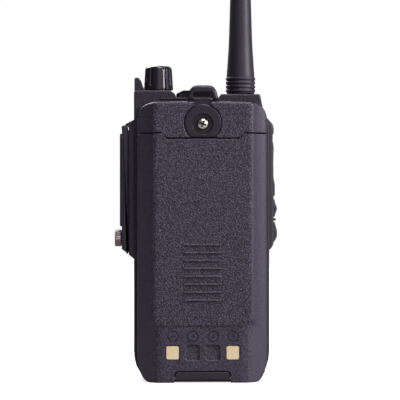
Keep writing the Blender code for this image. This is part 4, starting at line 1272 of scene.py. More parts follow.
@dataclass
class RearCover(Assembly):
    """The upper rear shell with the round seat for the strap loop."""

    skin: PackSkin = field(default_factory=PackSkin)
    shoulder: tuple[Point, ...] = ((0, 124.1), (11, 123.95), (21, 123.75), (24, 123.4), (25.6, 122.8),
                                   (26.8, 121.8), (27.7, 120.5), (28.3, 119.2), (28.75, 117.6))
    seat_floor: float = 16.6 * MM

    def build(self) -> list[bpy.types.Object]:
        """Makes the cover."""
        foot = metres((16.5, 107.95), (18.2, 110.25))
        top = metres(*self.shoulder)
        cover = self.skin.skin(foot, top, (0.35 * MM, 1.3 * MM), [0.0, 0.25, 0.5, 0.75, 1.0])
        room = plate_mm((-26.2, 112.0), (26.2, 120.6), 2.0, 2)
        hollow = Form().sweep(room, Axis.Y, metres((0, 0), (11.2, 0)))
        seat = Form().sweep(disc_outline(0.06 * MM, 56), Axis.Y,
                            pocket(self.seat_floor, self.skin.back, 0.3 * MM, 0.0, 4))
        channel = plate_mm((-3.65, 118.0), (3.65, 127.0), 0.2, 2)
        seat.join(Form().sweep(channel, Axis.Y, pocket(self.seat_floor, self.skin.back, 0.25 * MM, 0.0, 3)))
        hole = drill(1.6, 9.0, 18.0, (0.0, 114.0 * MM), Axis.Y, 20)
        return [stand_for("rear_cover", cover.cut(hollow, seat, hole), PACK)]


@dataclass
class BatteryPack(Assembly):
    """The battery: shell, contacts, blanks, marks, grip ridges and latch flap."""

    skin: PackSkin = field(default_factory=PackSkin)
    ridge_count: int = 8
    ridge_pitch: float = 3.49 * MM
    ridge_top: float = 60.7 * MM
    ridge_half: float = 8.2 * MM
    ridge_rise: float = 0.60 * MM
    contact: Point = (13.25 * MM, 13.25 * MM)
    mark_places: tuple[float, ...] = (13.1 * MM, 4.4 * MM, -4.6 * MM, -13.4 * MM)
    mark_z: float = 20.5 * MM
    latch_half: float = 12.1 * MM
    latch_axis: Point = (17.4 * MM, 1.9 * MM)

    def body(self) -> Form:
        """The hollow shell before its details."""
        foot = metres((24.4, 0), (25.2, 0.5), (26.3, 1.8), (27.9, 4.8), (28.5, 7.6), (28.7, 10.5),
                      (28.75, 14.0))
        top = metres((16.3, 107.45), (18.0, 109.75))
        shares = [0.0, 0.04, 0.09, 0.14, 0.19, 0.218, 0.228, 0.236, 0.244, 0.252, 0.262, 0.30, 0.4, 0.55, 0.7,
                  0.85, 1]
        shell = self.skin.skin(foot, top, (0.5 * MM, 0.35 * MM), shares, narrow=True)
        room = metres((0, 0), (26.5, 0), (26.5, 11.2), (21.0, 16.8), (0, 16.8))
        return shell.cut(Form().sweep(mirrored(room), Axis.Z, metres((7.6, 0), (105.2, 0))))

    def ridges(self) -> Form:
        """The raised grip ridges."""
        back, ridges = self.skin.back, Form()
        foot, rim = back - self.ridge_rise, back + self.ridge_rise
        for step in range(self.ridge_count):
            z = self.ridge_top - step * self.ridge_pitch
            low, high = z - 0.6 * MM, z + 0.6 * MM
            bar = [(foot, low, 0), (back, low, 0),
                   (rim, z - 0.3 * MM, 0.2 * MM), (rim, z + 0.2 * MM, 0.2 * MM),
                   (back, high, 0), (foot, high, 0)]
            stations = ends(-self.ridge_half, self.ridge_half, 0.3 * MM, 0.3 * MM, 3)
            ridges.sweep(filleted(bar, 3), Axis.X, stations)
        return ridges

    def dashes(self) -> Form:
        """A row of plain raised dashes."""
        back, dashes = self.skin.back, Form()
        for step in range(15):
            x = (step - 7) * 2.45 * MM
            dash = strip(x, 0.95 * MM, 24.9 * MM, 26.2 * MM, 0.35 * MM, 3)
            dashes.sweep(dash, Axis.Y, ends(back - 0.2 * MM, back + 0.40 * MM, 0.0, 0.16 * MM, 3))
        return dashes

    def marks(self) -> Form:
        """Four engraved rings: minus, two plain ones, plus."""
        cutters = Form()
        floor, over = self.skin.back - 0.40 * MM, self.skin.back + OVER
        for i, x in enumerate(self.mark_places):
            profile = [(2.05 * MM, floor), (2.5 * MM, floor), (2.75 * MM, over), (1.80 * MM, over)]
            cutters.turned(profile, (x, self.mark_z), Axis.Y, 40, hoop=True)
            bars = [(1.1, 0.28)] if i in (0, 3) else [(0.5, 0.5)]
            if i == 3:
                bars += [(0.28, 1.1)]
            outline = [(u, v, 0.1 * MM) for u, v in self.cross(x, bars)]
            cutters.sweep(filleted(outline, 2), Axis.Y, [(floor, 0.0), (over, -0.08 * MM)])
        return cutters

    def cross(self, x: float, bars: Sequence[Point]) -> Outline:
        """A bar, square or upright cross round a mark's middle, as an outline.

        Args:
            x: The mark's middle.
            bars: Half sizes of its bars in millimetres.

        Returns:
            The outline's points.
        """
        z = self.mark_z
        (a, b) = (v * MM for v in bars[0])
        if len(bars) == 1:
            return [(x + a, z - b), (x + a, z + b), (x - a, z + b), (x - a, z - b)]
        corners = [(a, -b), (a, b), (b, b), (b, a), (-b, a), (-b, b), (-a, b), (-a, -b), (-b, -b), (-b, -a),
                   (b, -a), (b, -b)]
        return [(x + u, z + v) for u, v in corners]

    def windows(self) -> Form:
        """The contact windows and the two blank squares between them."""
        cutters = Form()
        back = self.skin.back
        for side in (-1, 1):
            x, z = side * self.contact[0], self.contact[1]
            low, high = (x - 3.15 * MM, z - 3.35 * MM), (x + 3.15 * MM, z + 3.35 * MM)
            cutters.sweep(rounded(low, high, 0.9 * MM), Axis.Y, pocket(15.0 * MM, back, 0.15 * MM))
            low, high = (side * 4.45 * MM - 3.0 * MM, 9.9 * MM), (side * 4.45 * MM + 3.0 * MM, 16.6 * MM)
            cutters.sweep(rounded(low, high, 0.9 * MM), Axis.Y,
                          pocket(back - 0.8 * MM, back, 0.3 * MM, 0.2 * MM))
        return cutters

    def latch_face(self, half: float, top: float, corner: float) -> Outline:
        """The latch seen along Y, open at its foot."""
        right = arc((half - corner, top - corner), corner, 0, 90, 6)
        left = arc((corner - half, top - corner), corner, 90, 180, 6)
        return [(half, -1.0 * MM), *right, *left, (-half, -1.0 * MM)]

    def latch(self) -> bpy.types.Object:
        """The sprung flap, rounded along its edges."""
        y, z = self.latch_axis
        profile = [
            (18.9, 4.45, 0.1), (18.7, 4.75, 0.15), (17.7, 4.75, 0.1), (17.5, 4.5, 0.1), (17.5, 3.4, 0.3),
            (16.3, 2.9, 0.3), (14.8, 2.5, 0.2), (14.8, 1.3, 0.2),
        ]
        outline = filleted(metres(*profile), 2) + arc((y, z), 1.5 * MM, 210, 360, 12)
        stations = ends(-self.latch_half, self.latch_half, 0.15 * MM, 0.15 * MM, 2)
        flap = Form().sweep(outline, Axis.X, stations)
        face = Form().sweep(self.latch_face(self.latch_half + 0.01 * MM, 4.76 * MM, 1.7 * MM), Axis.Y,
                            metres((10.0, 0), (30.0, 0)))
        flap.change(Operation.KEEP, face)
        bore = drill(0.85, -15, 15, self.latch_axis, Axis.X)
        chamber = drill(1.22, -3.4, 3.4, self.latch_axis, Axis.X)
        return stand_for("battery_latch", flap.cut(bore).cut(chamber), SMOOTH)

    def contacts(self) -> list[bpy.types.Object]:
        """The two plated charging contacts."""
        made = []
        for name, side in (("minus", 1), ("plus", -1)):
            x, z = side * self.contact[0], self.contact[1]
            low, high = (x - 2.85 * MM, z - 3.05 * MM), (x + 2.85 * MM, z + 3.05 * MM)
            pad = Form().sweep(rounded(low, high, 0.7 * MM), Axis.Y,
                               ends(15.0 * MM, 18.7 * MM, 0.0, 0.22 * MM, 3))
            made.append(stand_for(f"charge_contact_{name}", pad, GOLD))
        return made

    def build(self) -> list[bpy.types.Object]:
        """Makes the shell, the contacts and the latch."""
        shell = self.body().join(self.ridges())
        shell.cut(self.windows()).cut(self.marks())
        notch = self.latch_face(self.latch_half + 0.4 * MM, 5.2 * MM, 1.8 * MM)
        shell.cut(Form().sweep(notch, Axis.Y, pocket(13.8 * MM, self.skin.back, 0.12 * MM)))
        sockets = Form()
        for side in (-1, 1):
            sockets.turned([(0.8 * MM, side * 12.0 * MM), (0.8 * MM, side * 14.2 * MM)], self.latch_axis,
                           Axis.X, 16)
        shell.cut(sockets)
        dashes = trim("battery_dashes", self.dashes(), DASH, "battery_shell")
        return [stand_for("battery_shell", shell, PACK), dashes, *self.contacts(), self.latch()]


@dataclass
class StrapLoop(Assembly):
    """The round plate with its standing arch, and the cross-head screw that holds it."""

    front: float = 16.9 * MM
    back: float = 18.7 * MM
    screw_z: float = 114.0 * MM
    screw_radius: float = 2.55 * MM
    sink: float = 4.5 * MM

    def loop(self) -> Form:
        """The plate and the arch as one piece."""
        skirt = [(self.front, 0.0), (18.35 * MM, 0.0), (18.6 * MM, 0.12 * MM), (18.78 * MM, 0.4 * MM),
                 (18.86 * MM, 0.8 * MM), (18.9 * MM, 1.3 * MM)]
        plate = Form().sweep(disc_outline(0.0, 49), Axis.Y, skirt)
        neck = plate_mm((-3.6, 118.0), (3.6, 126.0), 0.2, 2)
        arch = [(7.0, 124.4, 0.3), (6.85, 125.8, 1.5), (6.1, 128.6, 2.6), (4.5, 130.8, 2.4),
                (2.0, 131.1, 3.0)]
        corners = metres(*arch)
        outline = filleted(corners + [(-x, z, r) for x, z, r in reversed(corners)], 6)
        plate.join(Form().sweep(neck, Axis.Y, ends(self.front, 18.1 * MM, 0.0, 0.2 * MM, 2)),
                   Form().sweep(outline, Axis.Y, ends(14.6 * MM, 19.0 * MM, 1.0 * MM, 1.5 * MM, 5), shrunk))
        slot = plate_mm((-4.2, 124.9), (4.2, 127.9), 0.9)
        through = metres((13.0, -0.6), (15.0, -0.5), (15.6, 0), (18.2, 0), (18.7, -0.15), (19.0, -0.5),
                         (20.5, -0.6))
        hole = drill(1.6, 15.0, 20.0, (0.0, self.screw_z), Axis.Y)
        sink = Form().sweep(ring((0.0, self.screw_z), self.sink, 56), Axis.Y,
                            pocket(17.7 * MM, self.back + 0.2 * MM, 0.3 * MM, 0.25 * MM))
        return plate.cut(Form().sweep(slot, Axis.Y, through), hole).cut(sink)

    def screw(self) -> Form:
        """A pan head with a cross recess, on its shank."""
        seat = 18.1 * MM
        head = [(0.0, 11.7 * MM), (1.2 * MM, 12.1 * MM), (1.2 * MM, seat), (2.4 * MM, seat),
                (self.screw_radius, seat + 0.15 * MM), (self.screw_radius, seat + 0.5 * MM)]
        head += [(r * MM, seat + y * MM) for r, y in ((2.46, 0.8), (2.25, 1.15), (1.85, 1.5), (1.3, 1.74),
                                                      (0.7, 1.86))]
        screw = Form().turned([*head, (0.0, seat + 1.9 * MM)], (0.0, self.screw_z), Axis.Y, 48)
        arms = []
        for angle in (22, 112):
            spin = Matrix.Rotation(math.radians(angle), 2)
            corners = [spin @ Vector(corner) * MM
                       for corner in ((1.6, -0.33), (1.6, 0.33), (-1.6, 0.33), (-1.6, -0.33))]
            outline = [(u, self.screw_z + v) for u, v in corners]
            arms.append(Form().sweep(outline, Axis.Y,
                                     [(seat + 0.2 * MM, 0.18 * MM), (seat + 2.2 * MM, -0.06 * MM)]))
        return screw.cut(*arms)

    def build(self) -> list[bpy.types.Object]:
        """Makes the loop and its screw."""
        return [stand_for("strap_loop", self.loop(), LOOP),
                stand_for("strap_loop_screw", self.screw(), CHROME)]


# ---------------------------------------------------------------- top of the radio
@dataclass
class VolumeKnob(Assembly):
    """The fluted knob with its painted pointer, which sits on the volume shaft."""

    centre: Point = KNOB_AXIS
    low: float = 130.1 * MM
    high: float = 140.9 * MM
    base: float = 6.6 * MM
    top: float = 6.05 * MM
    flutes: int = 8
    first_flute: float = 58.0       # degrees from +X
    flute_radius: float = 1.15 * MM
    pointer_angle: float = 111.5

    def side(self, angle: float, z: float, out: float = 0.0) -> Point:
        """The point on the leaning side at an angle and a height, moved outwards."""
        radius = self.base + out - (self.base - self.top) * (z - self.low) / (self.high - self.low)
        return self.centre[0] + radius * math.cos(angle), self.centre[1] + radius * math.sin(angle)

    def flute(self, angle: float) -> Form:
        """A cutter for one flute: a leaning round bar with a round foot.

        Args:
            angle: Where it stands, in radians from +X.

        Returns:
            The cutter.
        """
        foot, radius = 132.9 * MM, self.flute_radius
        rings = [(foot - radius * (1 - t), radius * math.sqrt(1 - (1 - t) ** 2))
                 for t in (0.02, 0.12, 0.3, 0.55, 0.8)]
        rings += [(foot, radius), (self.high + 1.0 * MM, radius)]
        return Form().loft([[Vector((u, v, z)) for u, v in ring(self.side(angle, z, 0.5 * MM), r, 24)]
                            for z, r in rings])

    def bar(self, angle: float, half: float, inner: float, outer: float, low: float, high: float) -> Form:
        """An upright bar that follows the leaning side, from one depth to another.

        Args:
            angle: Where it stands, in radians from +X.
            half: Half its width.
            inner: How far out of the side its back lies.
            outer: How far out of the side its face lies.
            low: The height of its foot.
            high: The height of its top.

        Returns:
            The bar.
        """
        across = Vector((-math.sin(angle), math.cos(angle))) * half
        loops = []
        for z in (low, high):
            near, far = Vector(self.side(angle, z, inner)), Vector(self.side(angle, z, outer))
            corners = [near - across, far - across, far + across, near + across]
            loops.append([Vector((*corner, z)) for corner in corners])
        return Form().loft(loops)

    def build(self) -> list[bpy.types.Object]:
        """Makes the knob and its pointer line."""
        round_top = 1.8 * MM
        crown = [(self.top - round_top * (1 - math.cos(a)), self.high - round_top * (1 - math.sin(a)))
                 for a in (0.0, 0.3, 0.6, 0.9, 1.2, 1.57)]
        dish = [(3.9 * MM, self.high), (3.6 * MM, self.high - 0.15 * MM), (0.0, self.high - 0.2 * MM)]
        foot = [(0.0, self.low), (self.base - 0.4 * MM, self.low),
                (self.base - 0.1 * MM, self.low + 0.12 * MM),
                (self.base, self.low + 0.45 * MM)]
        knob = Form().turned([*foot, *crown, *dish], self.centre, Axis.Z, 96)
        angles = [math.radians(self.first_flute + 360 / self.flutes * i) for i in range(self.flutes)
                  if i != 1]
        line = math.radians(self.pointer_angle)
        groove = self.bar(line + 0.14, 0.42 * MM, -0.9 * MM, 1.0 * MM, self.low - OVER, self.high + OVER)
        knob.cut(*[self.flute(angle) for angle in angles], groove)
        room = drill(4.0, 129.0, 133.4, self.centre, Axis.Z, 32)
        socket = drill(1.8, 133.0, 138.4, self.centre, Axis.Z)
        knob.cut(room).cut(socket)
        pointer = self.bar(line, 0.36 * MM, -0.3 * MM, 0.04 * MM, self.low + 0.7 * MM, self.high - 1.7 * MM)
        return [stand_for("volume_knob", knob, KNOB), trim("volume_pointer", pointer, GREY, "volume_knob")]


@dataclass
class Antenna(Assembly):
    """The tapered rubber sheath with its ridged foot."""

    centre: Point = ANTENNA_AXIS
    high: float = 280.0 * MM
    ridge_count: int = 4
    ridge_pitch: float = 1.8 * MM

    def outside(self) -> list[Point]:
        """The sheath's outer profile, from the tip down."""
        tip = [(3.5 * MM * math.sin(a), self.high - 4.2 * MM * (1 - math.cos(a)))
               for a in (0.0, 0.25, 0.5, 0.75, 1.0, 1.25, 1.5)]
        body = smooth_path([(3.5, 275.6), (3.8, 230.0), (4.3, 190.0), (5.2, 155.2), (5.8, 144.0),
                            (6.32, 136.6)], 6)
        profile = tip + metres(*body)
        for ridge in range(self.ridge_count):
            high = 135.9 * MM - ridge * self.ridge_pitch
            bulge = [(6.33, 0.0), (6.52, 0.08), (6.66, 0.3), (6.68, 0.95), (6.55, 1.2), (6.36, 1.3)]
            profile += [(r * MM, high - d * MM) for r, d in bulge]
        return profile

    def build(self) -> list[bpy.types.Object]:
        """Makes the sheath."""
        inside = [(6.2, 128.6), (6.0, 128.5), (5.2, 128.5), (5.2, 136.6), (2.9, 137.0), (2.9, 195.0),
                  (0.0, 196.0)]
        profile = self.outside() + metres(*inside)
        sheath = Form().turned(profile, self.centre, Axis.Z, 56)
        return [stand_for("antenna_sheath", sheath, ANTENNA)]


@dataclass
class TorchLens(Assembly):
    """The glossy block over the torch lamp, between the knob and the antenna."""

    low: float = 126.9 * MM
    high: float = 129.6 * MM

    def build(self) -> list[bpy.types.Object]:
        """Makes the lens."""
        corners = [(11.3, 1.0, 1.2), (-5.0, 1.0, 1.2), (-5.0, -12.0, 3.0), (11.3, -12.0, 3.0)]
        outline = filleted(metres(*reversed(corners)), 6)
        lens = Form().sweep(outline, Axis.Z, ends(self.low, self.high, 0.1 * MM, 0.9 * MM, 5))
        slope = metres((8.4, 130.5), (8.4, 129.6), (13.0, 127.4), (13.0, 130.5))
        lens.cut(Form().sweep(slope, Axis.Y, metres((-14.0, 0), (3.0, 0))))
        return [stand_for("torch_lens", lens, TORCH)]


# ---------------------------------------------------------------- sides
@dataclass
class AccessoryPort(Assembly):
    """The contact block on the side, its swinging cover and the knurled thumbscrew."""

    middle: float = SIDE_MIDDLE
    half: float = 7.0 * MM
    inner: float = 33.0 * MM
    hinge: Point = (34.7 * MM, 112.5 * MM)
    screw_z: float = 63.3 * MM
    knurls: int = 24

    def span(self, rounding: float) -> list[Point]:
        """Stations across the side, with both edges rounded."""
        return ends(self.middle - self.half, self.middle + self.half, rounding, rounding, 4)

    def socket(self) -> Form:
        """The block behind the cover, with the hood over the cover's hinge."""
        foot = filleted(metres((30.1, 53.7, 0), (32.7, 55.8, 0.1), (32.7, 80, 0)))
        cradle = arc(self.hinge, self.hinge[0] - self.inner + 0.3 * MM, 180, 102, 10)
        hood = smooth_path(metres((34.3, 114.65), (33.3, 115.2), (31.8, 116.0), (30.1, 116.9)), 4)
        block = Form().sweep([*foot[:-1], *cradle, *hood], Axis.Y, self.span(0.5 * MM))
        recess = strip(self.middle, 4.0 * MM, 76.0 * MM, 100.0 * MM, 1.5 * MM)
        cutter = Form().sweep(recess, Axis.X, pocket(32.0 * MM, 32.7 * MM, 0.15 * MM))
        place = (self.middle, self.screw_z)
        hole = drill(1.7, 29.0, 34.0, place, Axis.X)
        return block.cut(cutter, hole)

    def pins(self) -> Form:
        """Two columns of contact studs in the recess."""
        studs = Form()
        for y in (-1.7, 1.7):
            for row in range(7):
                place = (self.middle + y * MM, (79.0 + 3.0 * row) * MM)
                profile = metres((0, 31.9), (0.75, 31.9), (0.75, 32.15), (0.6, 32.3))
                studs.turned([*profile, (0.0, 32.35 * MM)], place, Axis.X, 18)
        return studs

    def seal(self) -> Form:
        """The rubber seal between the cover and the socket."""
        low, high = (self.middle - 6.3 * MM, 57.8 * MM), (self.middle + 6.3 * MM, 112.0 * MM)
        seal = Form().sweep(rounded(low, high, 1.5 * MM), Axis.X, metres((32.68, 0.3), (32.8, 0), (33.1, 0)))
        inside = strip(self.middle, 5.0 * MM, 70.0 * MM, 110.0 * MM, 1.2 * MM)
        hole = drill(2.0, 32.0, 34.0, (self.middle, self.screw_z), Axis.X)
        return seal.cut(Form().sweep(inside, Axis.X, metres((32.0, 0), (34.0, 0))), hole)

    def cover(self) -> Form:
        """The swinging cover with its raised strip and hinge knuckle."""
        foot = [(33.0, 56.1, 0.1), (35.9, 58.4, 0.4), (35.9, 112.9, 0.1)]
        outline = filleted(metres(*foot), 4)
        outline += arc(self.hinge, self.hinge[0] - self.inner, 40, 180, 14)
        cover = Form().sweep(outline, Axis.Y, self.span(0.8 * MM))
        low, high = (self.middle - 4.6 * MM, 68.6 * MM), (self.middle + 4.6 * MM, 110.6 * MM)
        cover.join(Form().sweep(rounded(low, high, 1.6 * MM), Axis.X,
                                ends(35.0 * MM, 36.8 * MM, 0.0, 0.5 * MM, 4)))
        grips = Form()
        for step in range(5):
            z = (72.0 + 2.2 * step) * MM
            face = strip(self.middle, 3.2 * MM, z, z + 0.9 * MM, 0.44 * MM)
            grips.sweep(face, Axis.X, pocket(36.45 * MM, 36.8 * MM, 0.12 * MM))
        hole = metres((1.6, 31.0), (1.6, 35.7), (1.9, 35.95), (1.9, 38.0))
        return cover.cut(grips).cut(Form().turned(hole, (self.middle, self.screw_z), Axis.X, 32))

    def thumbscrew(self) -> Form:
        """A knurled head with a coin slot, on its shank."""
        low, high = 36.0 * MM, 39.1 * MM

        def reach(angle: float, x: float) -> float:
            """The knurls, which run out at both rims."""
            fade = ease(low + 0.1 * MM, low + 0.5 * MM, x) * (1 - ease(high - 0.55 * MM, high - 0.15 * MM, x))
            return 1 - 0.07 * fade * abs(math.cos(angle * self.knurls / 2)) ** 1.5

        profile = [(0.0, 28.2 * MM), (1.0 * MM, 28.2 * MM), (1.2 * MM, 28.5 * MM), (1.2 * MM, low),
                   (3.45 * MM, low)]
        profile += [(3.8 * MM, low + d * MM) for d in (0.3, 0.5, 0.8, 1.2, 1.6, 2.0, 2.35, 2.55)]
        profile += [(3.55 * MM, high - 0.1 * MM), (3.3 * MM, high), (0.0, high)]
        screw = Form().turned(profile, (self.middle, self.screw_z), Axis.X, 192, reach)
        slot = strip(self.middle, 0.5 * MM, self.screw_z - 4.5 * MM, self.screw_z + 4.5 * MM, 0.1 * MM, 2)
        return screw.cut(Form().sweep(slot, Axis.X, pocket(high - 0.9 * MM, high, 0.12 * MM)))

    def build(self) -> list[bpy.types.Object]:
        """Makes the socket, the studs, the cover and the thumbscrew."""
        return [
            stand_for("accessory_socket", self.socket(), PORT),
            trim("accessory_studs", self.pins(), GOLD, "accessory_socket"),
            stand_for("accessory_cover", self.cover(), PORT),
            trim("accessory_seal", self.seal(), GASKET, "accessory_cover"),
            stand_for("thumbscrew", self.thumbscrew(), GUNMETAL),
        ]


@dataclass
class SideKeys(Assembly):
    """The rubber panel of the side pocket, the talk key and three small keys."""

    middle: float = SIDE_MIDDLE
    half: float = 4.5 * MM
    clearance: float = 0.4 * MM
    panel_half: float = 6.6 * MM
    outlines: dict[str, list[tuple[float, float, float]]] = field(default_factory=lambda: {
        "side_key_upper": [
            (-29.8, 109.9, 0), (-29.8, 116.4, 0), (-30.8, 116.4, 0.5), (-32.2, 115.0, 1.5),
            (-32.8, 113.0, 1.2), (-32.8, 110.6, 0.5), (-32.2, 109.9, 0.4)],
        "ptt_button": [
            (-29.8, 82.2, 0), (-29.8, 107.2, 0), (-31.9, 107.2, 0.5), (-32.5, 106.6, 0.6),
            (-32.8, 104.0, 4.0), (-32.6, 98.0, 8.0), (-32.7, 90.5, 6.0), (-33.3, 87.5, 2.0),
            (-33.3, 82.8, 0.5), (-33.0, 82.2, 0.4)],
        "side_key_middle": [
            (-29.8, 72.9, 0), (-29.8, 80.9, 0), (-33.1, 80.9, 0.4), (-33.5, 79.0, 2.0), (-34.2, 77.2, 0.8),
            (-34.3, 76.4, 0.8), (-33.6, 74.5, 2.0), (-33.2, 72.9, 0.4)],
        "side_key_lower": [
            (-29.8, 60.6, 0), (-29.8, 70.6, 0), (-33.2, 70.6, 0.4), (-33.8, 68.5, 2.0), (-34.3, 66.4, 1.5),
            (-34.3, 64.2, 1.5), (-33.4, 62.2, 2.0), (-32.2, 60.6, 0.4)],
    })

    def key(self, name: str) -> Form:
        """One key with rounded edges, and with grip ribs on the talk key.

        Args:
            name: The key's node.

        Returns:
            The key's solid.
        """
        corners = metres(*self.outlines[name])
        stations = ends(self.middle - self.half, self.middle + self.half, 1.0 * MM, 1.0 * MM, 4)
        key = Form().sweep(filleted(corners[::-1], 5)[::-1], Axis.Y, stations)
        if name != "ptt_button":
            return key
        grooves = Form()
        for step in range(5):
            z = (91.2 + 2.6 * step) * MM
            face = strip(self.middle, 3.0 * MM, z, z + 1.1 * MM, 0.54 * MM)
            grooves.sweep(face, Axis.X, pocket(-32.3 * MM, -32.65 * MM, 0.15 * MM))
        return key.cut(grooves)

    def panel(self) -> Form:
        """The rubber panel with a window for each key."""
        corners = [(-28.5, 57.2, 0), (-28.5, 118.2, 0), (-29.8, 117.4, 1.0), (-31.3, 115.6, 2.0),
                   (-32.2, 113.0, 2.0), (-32.2, 84.2, 1.5), (-32.6, 82.4, 1.5), (-32.5, 60.6, 1.5),
                   (-31.6, 58.8, 1.0), (-30.4, 57.7, 0.8)]
        outline = filleted(metres(*corners), 5)
        stations = ends(self.middle - self.panel_half, self.middle + self.panel_half, 0.8 * MM, 0.8 * MM, 4)
        panel = Form().sweep(outline, Axis.Y, stations)
        windows = Form()
        for points in self.outlines.values():
            heights = [z * MM for _, z, _ in points]
            side = self.half + self.clearance
            low = (self.middle - side, min(heights) - self.clearance)
            high = (self.middle + side, max(heights) + self.clearance)
            windows.sweep(rounded(low, high, 1.5 * MM), Axis.X, metres((-20.0, 0), (-40.0, 0)))
        rib = strip(self.middle, 4.0 * MM, 71.15 * MM, 72.35 * MM, 0.55 * MM)
        panel.cut(windows)
        return panel.join(Form().sweep(rib, Axis.X, ends(-32.0 * MM, -33.8 * MM, 0.0, 0.5 * MM, 3)))

    def build(self) -> list[bpy.types.Object]:
        """Makes the panel and the keys."""
        panel = stand_for("side_key_rubber", self.panel(), SIDE_RUBBER)
        return [panel, *(stand_for(name, self.key(name), SIDE_RUBBER) for name in self.outlines)]


# ---------------------------------------------------------------- front
@dataclass
class FrontPanel(Assembly):
    """The display with its window, and the front keys with their figures."""

    lens_back: float = -18.4 * MM
    lens_front: float = -19.8 * MM
    glass: float = -17.0 * MM
    key_back: float = -17.1 * MM
    key_front: float = -20.36 * MM
    legends: tuple[str, ...] = ("1", "2", "3", "4", "5", "6", "7", "8", "9", "*", "0", "#")
    segments: tuple[str, ...] = ("bc", "abged", "afgcd", "abcdef", "abcdef")

    def window(self) -> list[bpy.types.Object]:
        """The clear window and the black border printed on its back."""
        face = plate_mm((-21.7, 71.3), (21.7, 95.7), 2.0)
        lens = Form().sweep(face, Axis.Y, ends(self.lens_back, self.lens_front, 0.0, 0.4 * MM, 4))
        border = Form().sweep(inset(face, 0.1 * MM), Axis.Y,
                              [(self.lens_back + 0.15 * MM, 0.0), (self.lens_back + 0.03 * MM, 0.0)])
        opening = plate_mm((-18.0, 74.5), (18.0, 92.5), 0.8)
        border.cut(Form().sweep(opening, Axis.Y, metres((-17.0, 0), (-20.0, 0))))
        return [stand_for("display_lens", lens, WINDOW), trim("window_border", border, INK, "display_lens")]

    def bar(self, form: Form, x: float, z: float, half_width: float, half_height: float) -> None:
        """Adds one lit bar of the display."""
        low, high = metres((x - half_width, z - half_height), (x + half_width, z + half_height))
        radius = min(half_width, half_height) * 0.6 * MM
        form.sweep(rounded(low, high, radius, 2), Axis.Y,
                   [(self.glass + 0.02 * MM, 0.0), (self.glass - 0.05 * MM, 0.0)])

    def digits(self) -> bpy.types.Object:
        """Seven-segment figures, a level meter and a charge mark."""
        form = Form()
        offsets = {"a": (0, 3.4, 1), "g": (0, 0, 1), "d": (0, -3.4, 1), "f": (-1.9, 1.7, 0),
                   "b": (1.9, 1.7, 0),
                   "e": (-1.9, -1.7, 0), "c": (1.9, -1.7, 0)}
        for i, lit in enumerate(self.segments):
            x = -12.2 + 5.8 * i + (1.2 if i > 2 else 0)
            for letter in lit:
                dx, dz, flat = offsets[letter]
                self.bar(form, x + dx, 83.4 + dz, *((1.5, 0.35) if flat else (0.35, 1.35)))
        self.bar(form, 3.05, 80.2, 0.45, 0.45)
        for i in range(8):
            self.bar(form, -14.5 + 1.7 * i, 77.0, 0.6, 0.35 + 0.08 * i)
        for i in range(3):
            self.bar(form, 11.0 + 1.3 * i, 89.9, 0.45, 0.7)
        for x, z, w, h in ((12.3, 91.0, 2.2, 0.15), (12.3, 88.8, 2.2, 0.15), (10.0, 89.9, 0.15, 1.2),
                           (14.6, 89.9, 0.15, 1.2)):
            self.bar(form, x, z, w, h)
        return trim("display_figures", form, SEGMENT, "display_module")

    def keys(self) -> list[bpy.types.Object]:
        """The fourteen front keys, with figures on twelve and bars on two."""
        made = []
        for i, name in enumerate(FRONT_KEYS):
            low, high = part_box(name)
            face = rounded((low.x, low.z), (high.x, high.z), 1.4 * MM)
            rim = ends(self.key_back - 0.1 * MM, self.key_front, 0.0, 0.75 * MM, 5)
            made.append(stand_for(name, Form().sweep(face, Axis.Y, [(self.key_back, 0.0), *rim]), KEY_RUBBER))
            middle = Vector(((low.x + high.x) / 2, self.key_front, (low.z + high.z) / 2))
            if i < len(self.legends):
                legend = Form().text(self.legends[i], 4.6 * MM, middle, 0.03 * MM)
            else:
                legend = Form()
                for step in (-1, 0, 1):
                    x, z = middle.x / MM, middle.z / MM + step * 1.1
                    legend.sweep(plate_mm((x - 1.8, z - 0.2), (x + 1.8, z + 0.2), 0.15, 2), Axis.Y,
                                 [(middle.y + 0.03 * MM, 0.0), (middle.y - 0.03 * MM, 0.0)])
            made.append(trim(f"{name}_figure", legend, WHITE, name))
        return made

    def build(self) -> list[bpy.types.Object]:
        """Makes the window, the display's figures and the keys."""
        return [*self.window(), self.digits(), *self.keys()]


# ---------------------------------------------------------------- inside
@dataclass
class Interior(Assembly):
    """What the case holds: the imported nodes, finished and with their edges rounded."""

    bevel: float = 0.15 * MM
    finishes: dict[str, Finish] = field(default_factory=lambda: {
        "inner_plastic": INNER, "gasket_rubber": GASKET, "key_rubber": KEY_RUBBER, "bright_steel": STEEL,
        "tinned_steel": TIN, "cast_aluminium": CASTING, "gold_plate": GOLD, "copper_wire": COPPER,
        "board_green": BOARD, "cell_wrap": WRAP, "speaker_frame": CONE, "display_glass": PANEL,
        "led_clear": LAMP,
    })

    def build(self) -> list[bpy.types.Object]:
        """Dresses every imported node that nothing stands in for."""
        shown = [node for node in frame["nodes"].values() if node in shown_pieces()]
        for node in shown:
            node.data.materials.clear()
            node.data.materials.append(self.finishes[SLOTS[node.name]].material())
            edges = node.modifiers.new("worn_edges", "BEVEL")
            edges.width = self.bevel
            edges.segments = 2
            edges.limit_method = "ANGLE"
            edges.angle_limit = math.radians(50)
            edges.use_clamp_overlap = True
        return shown


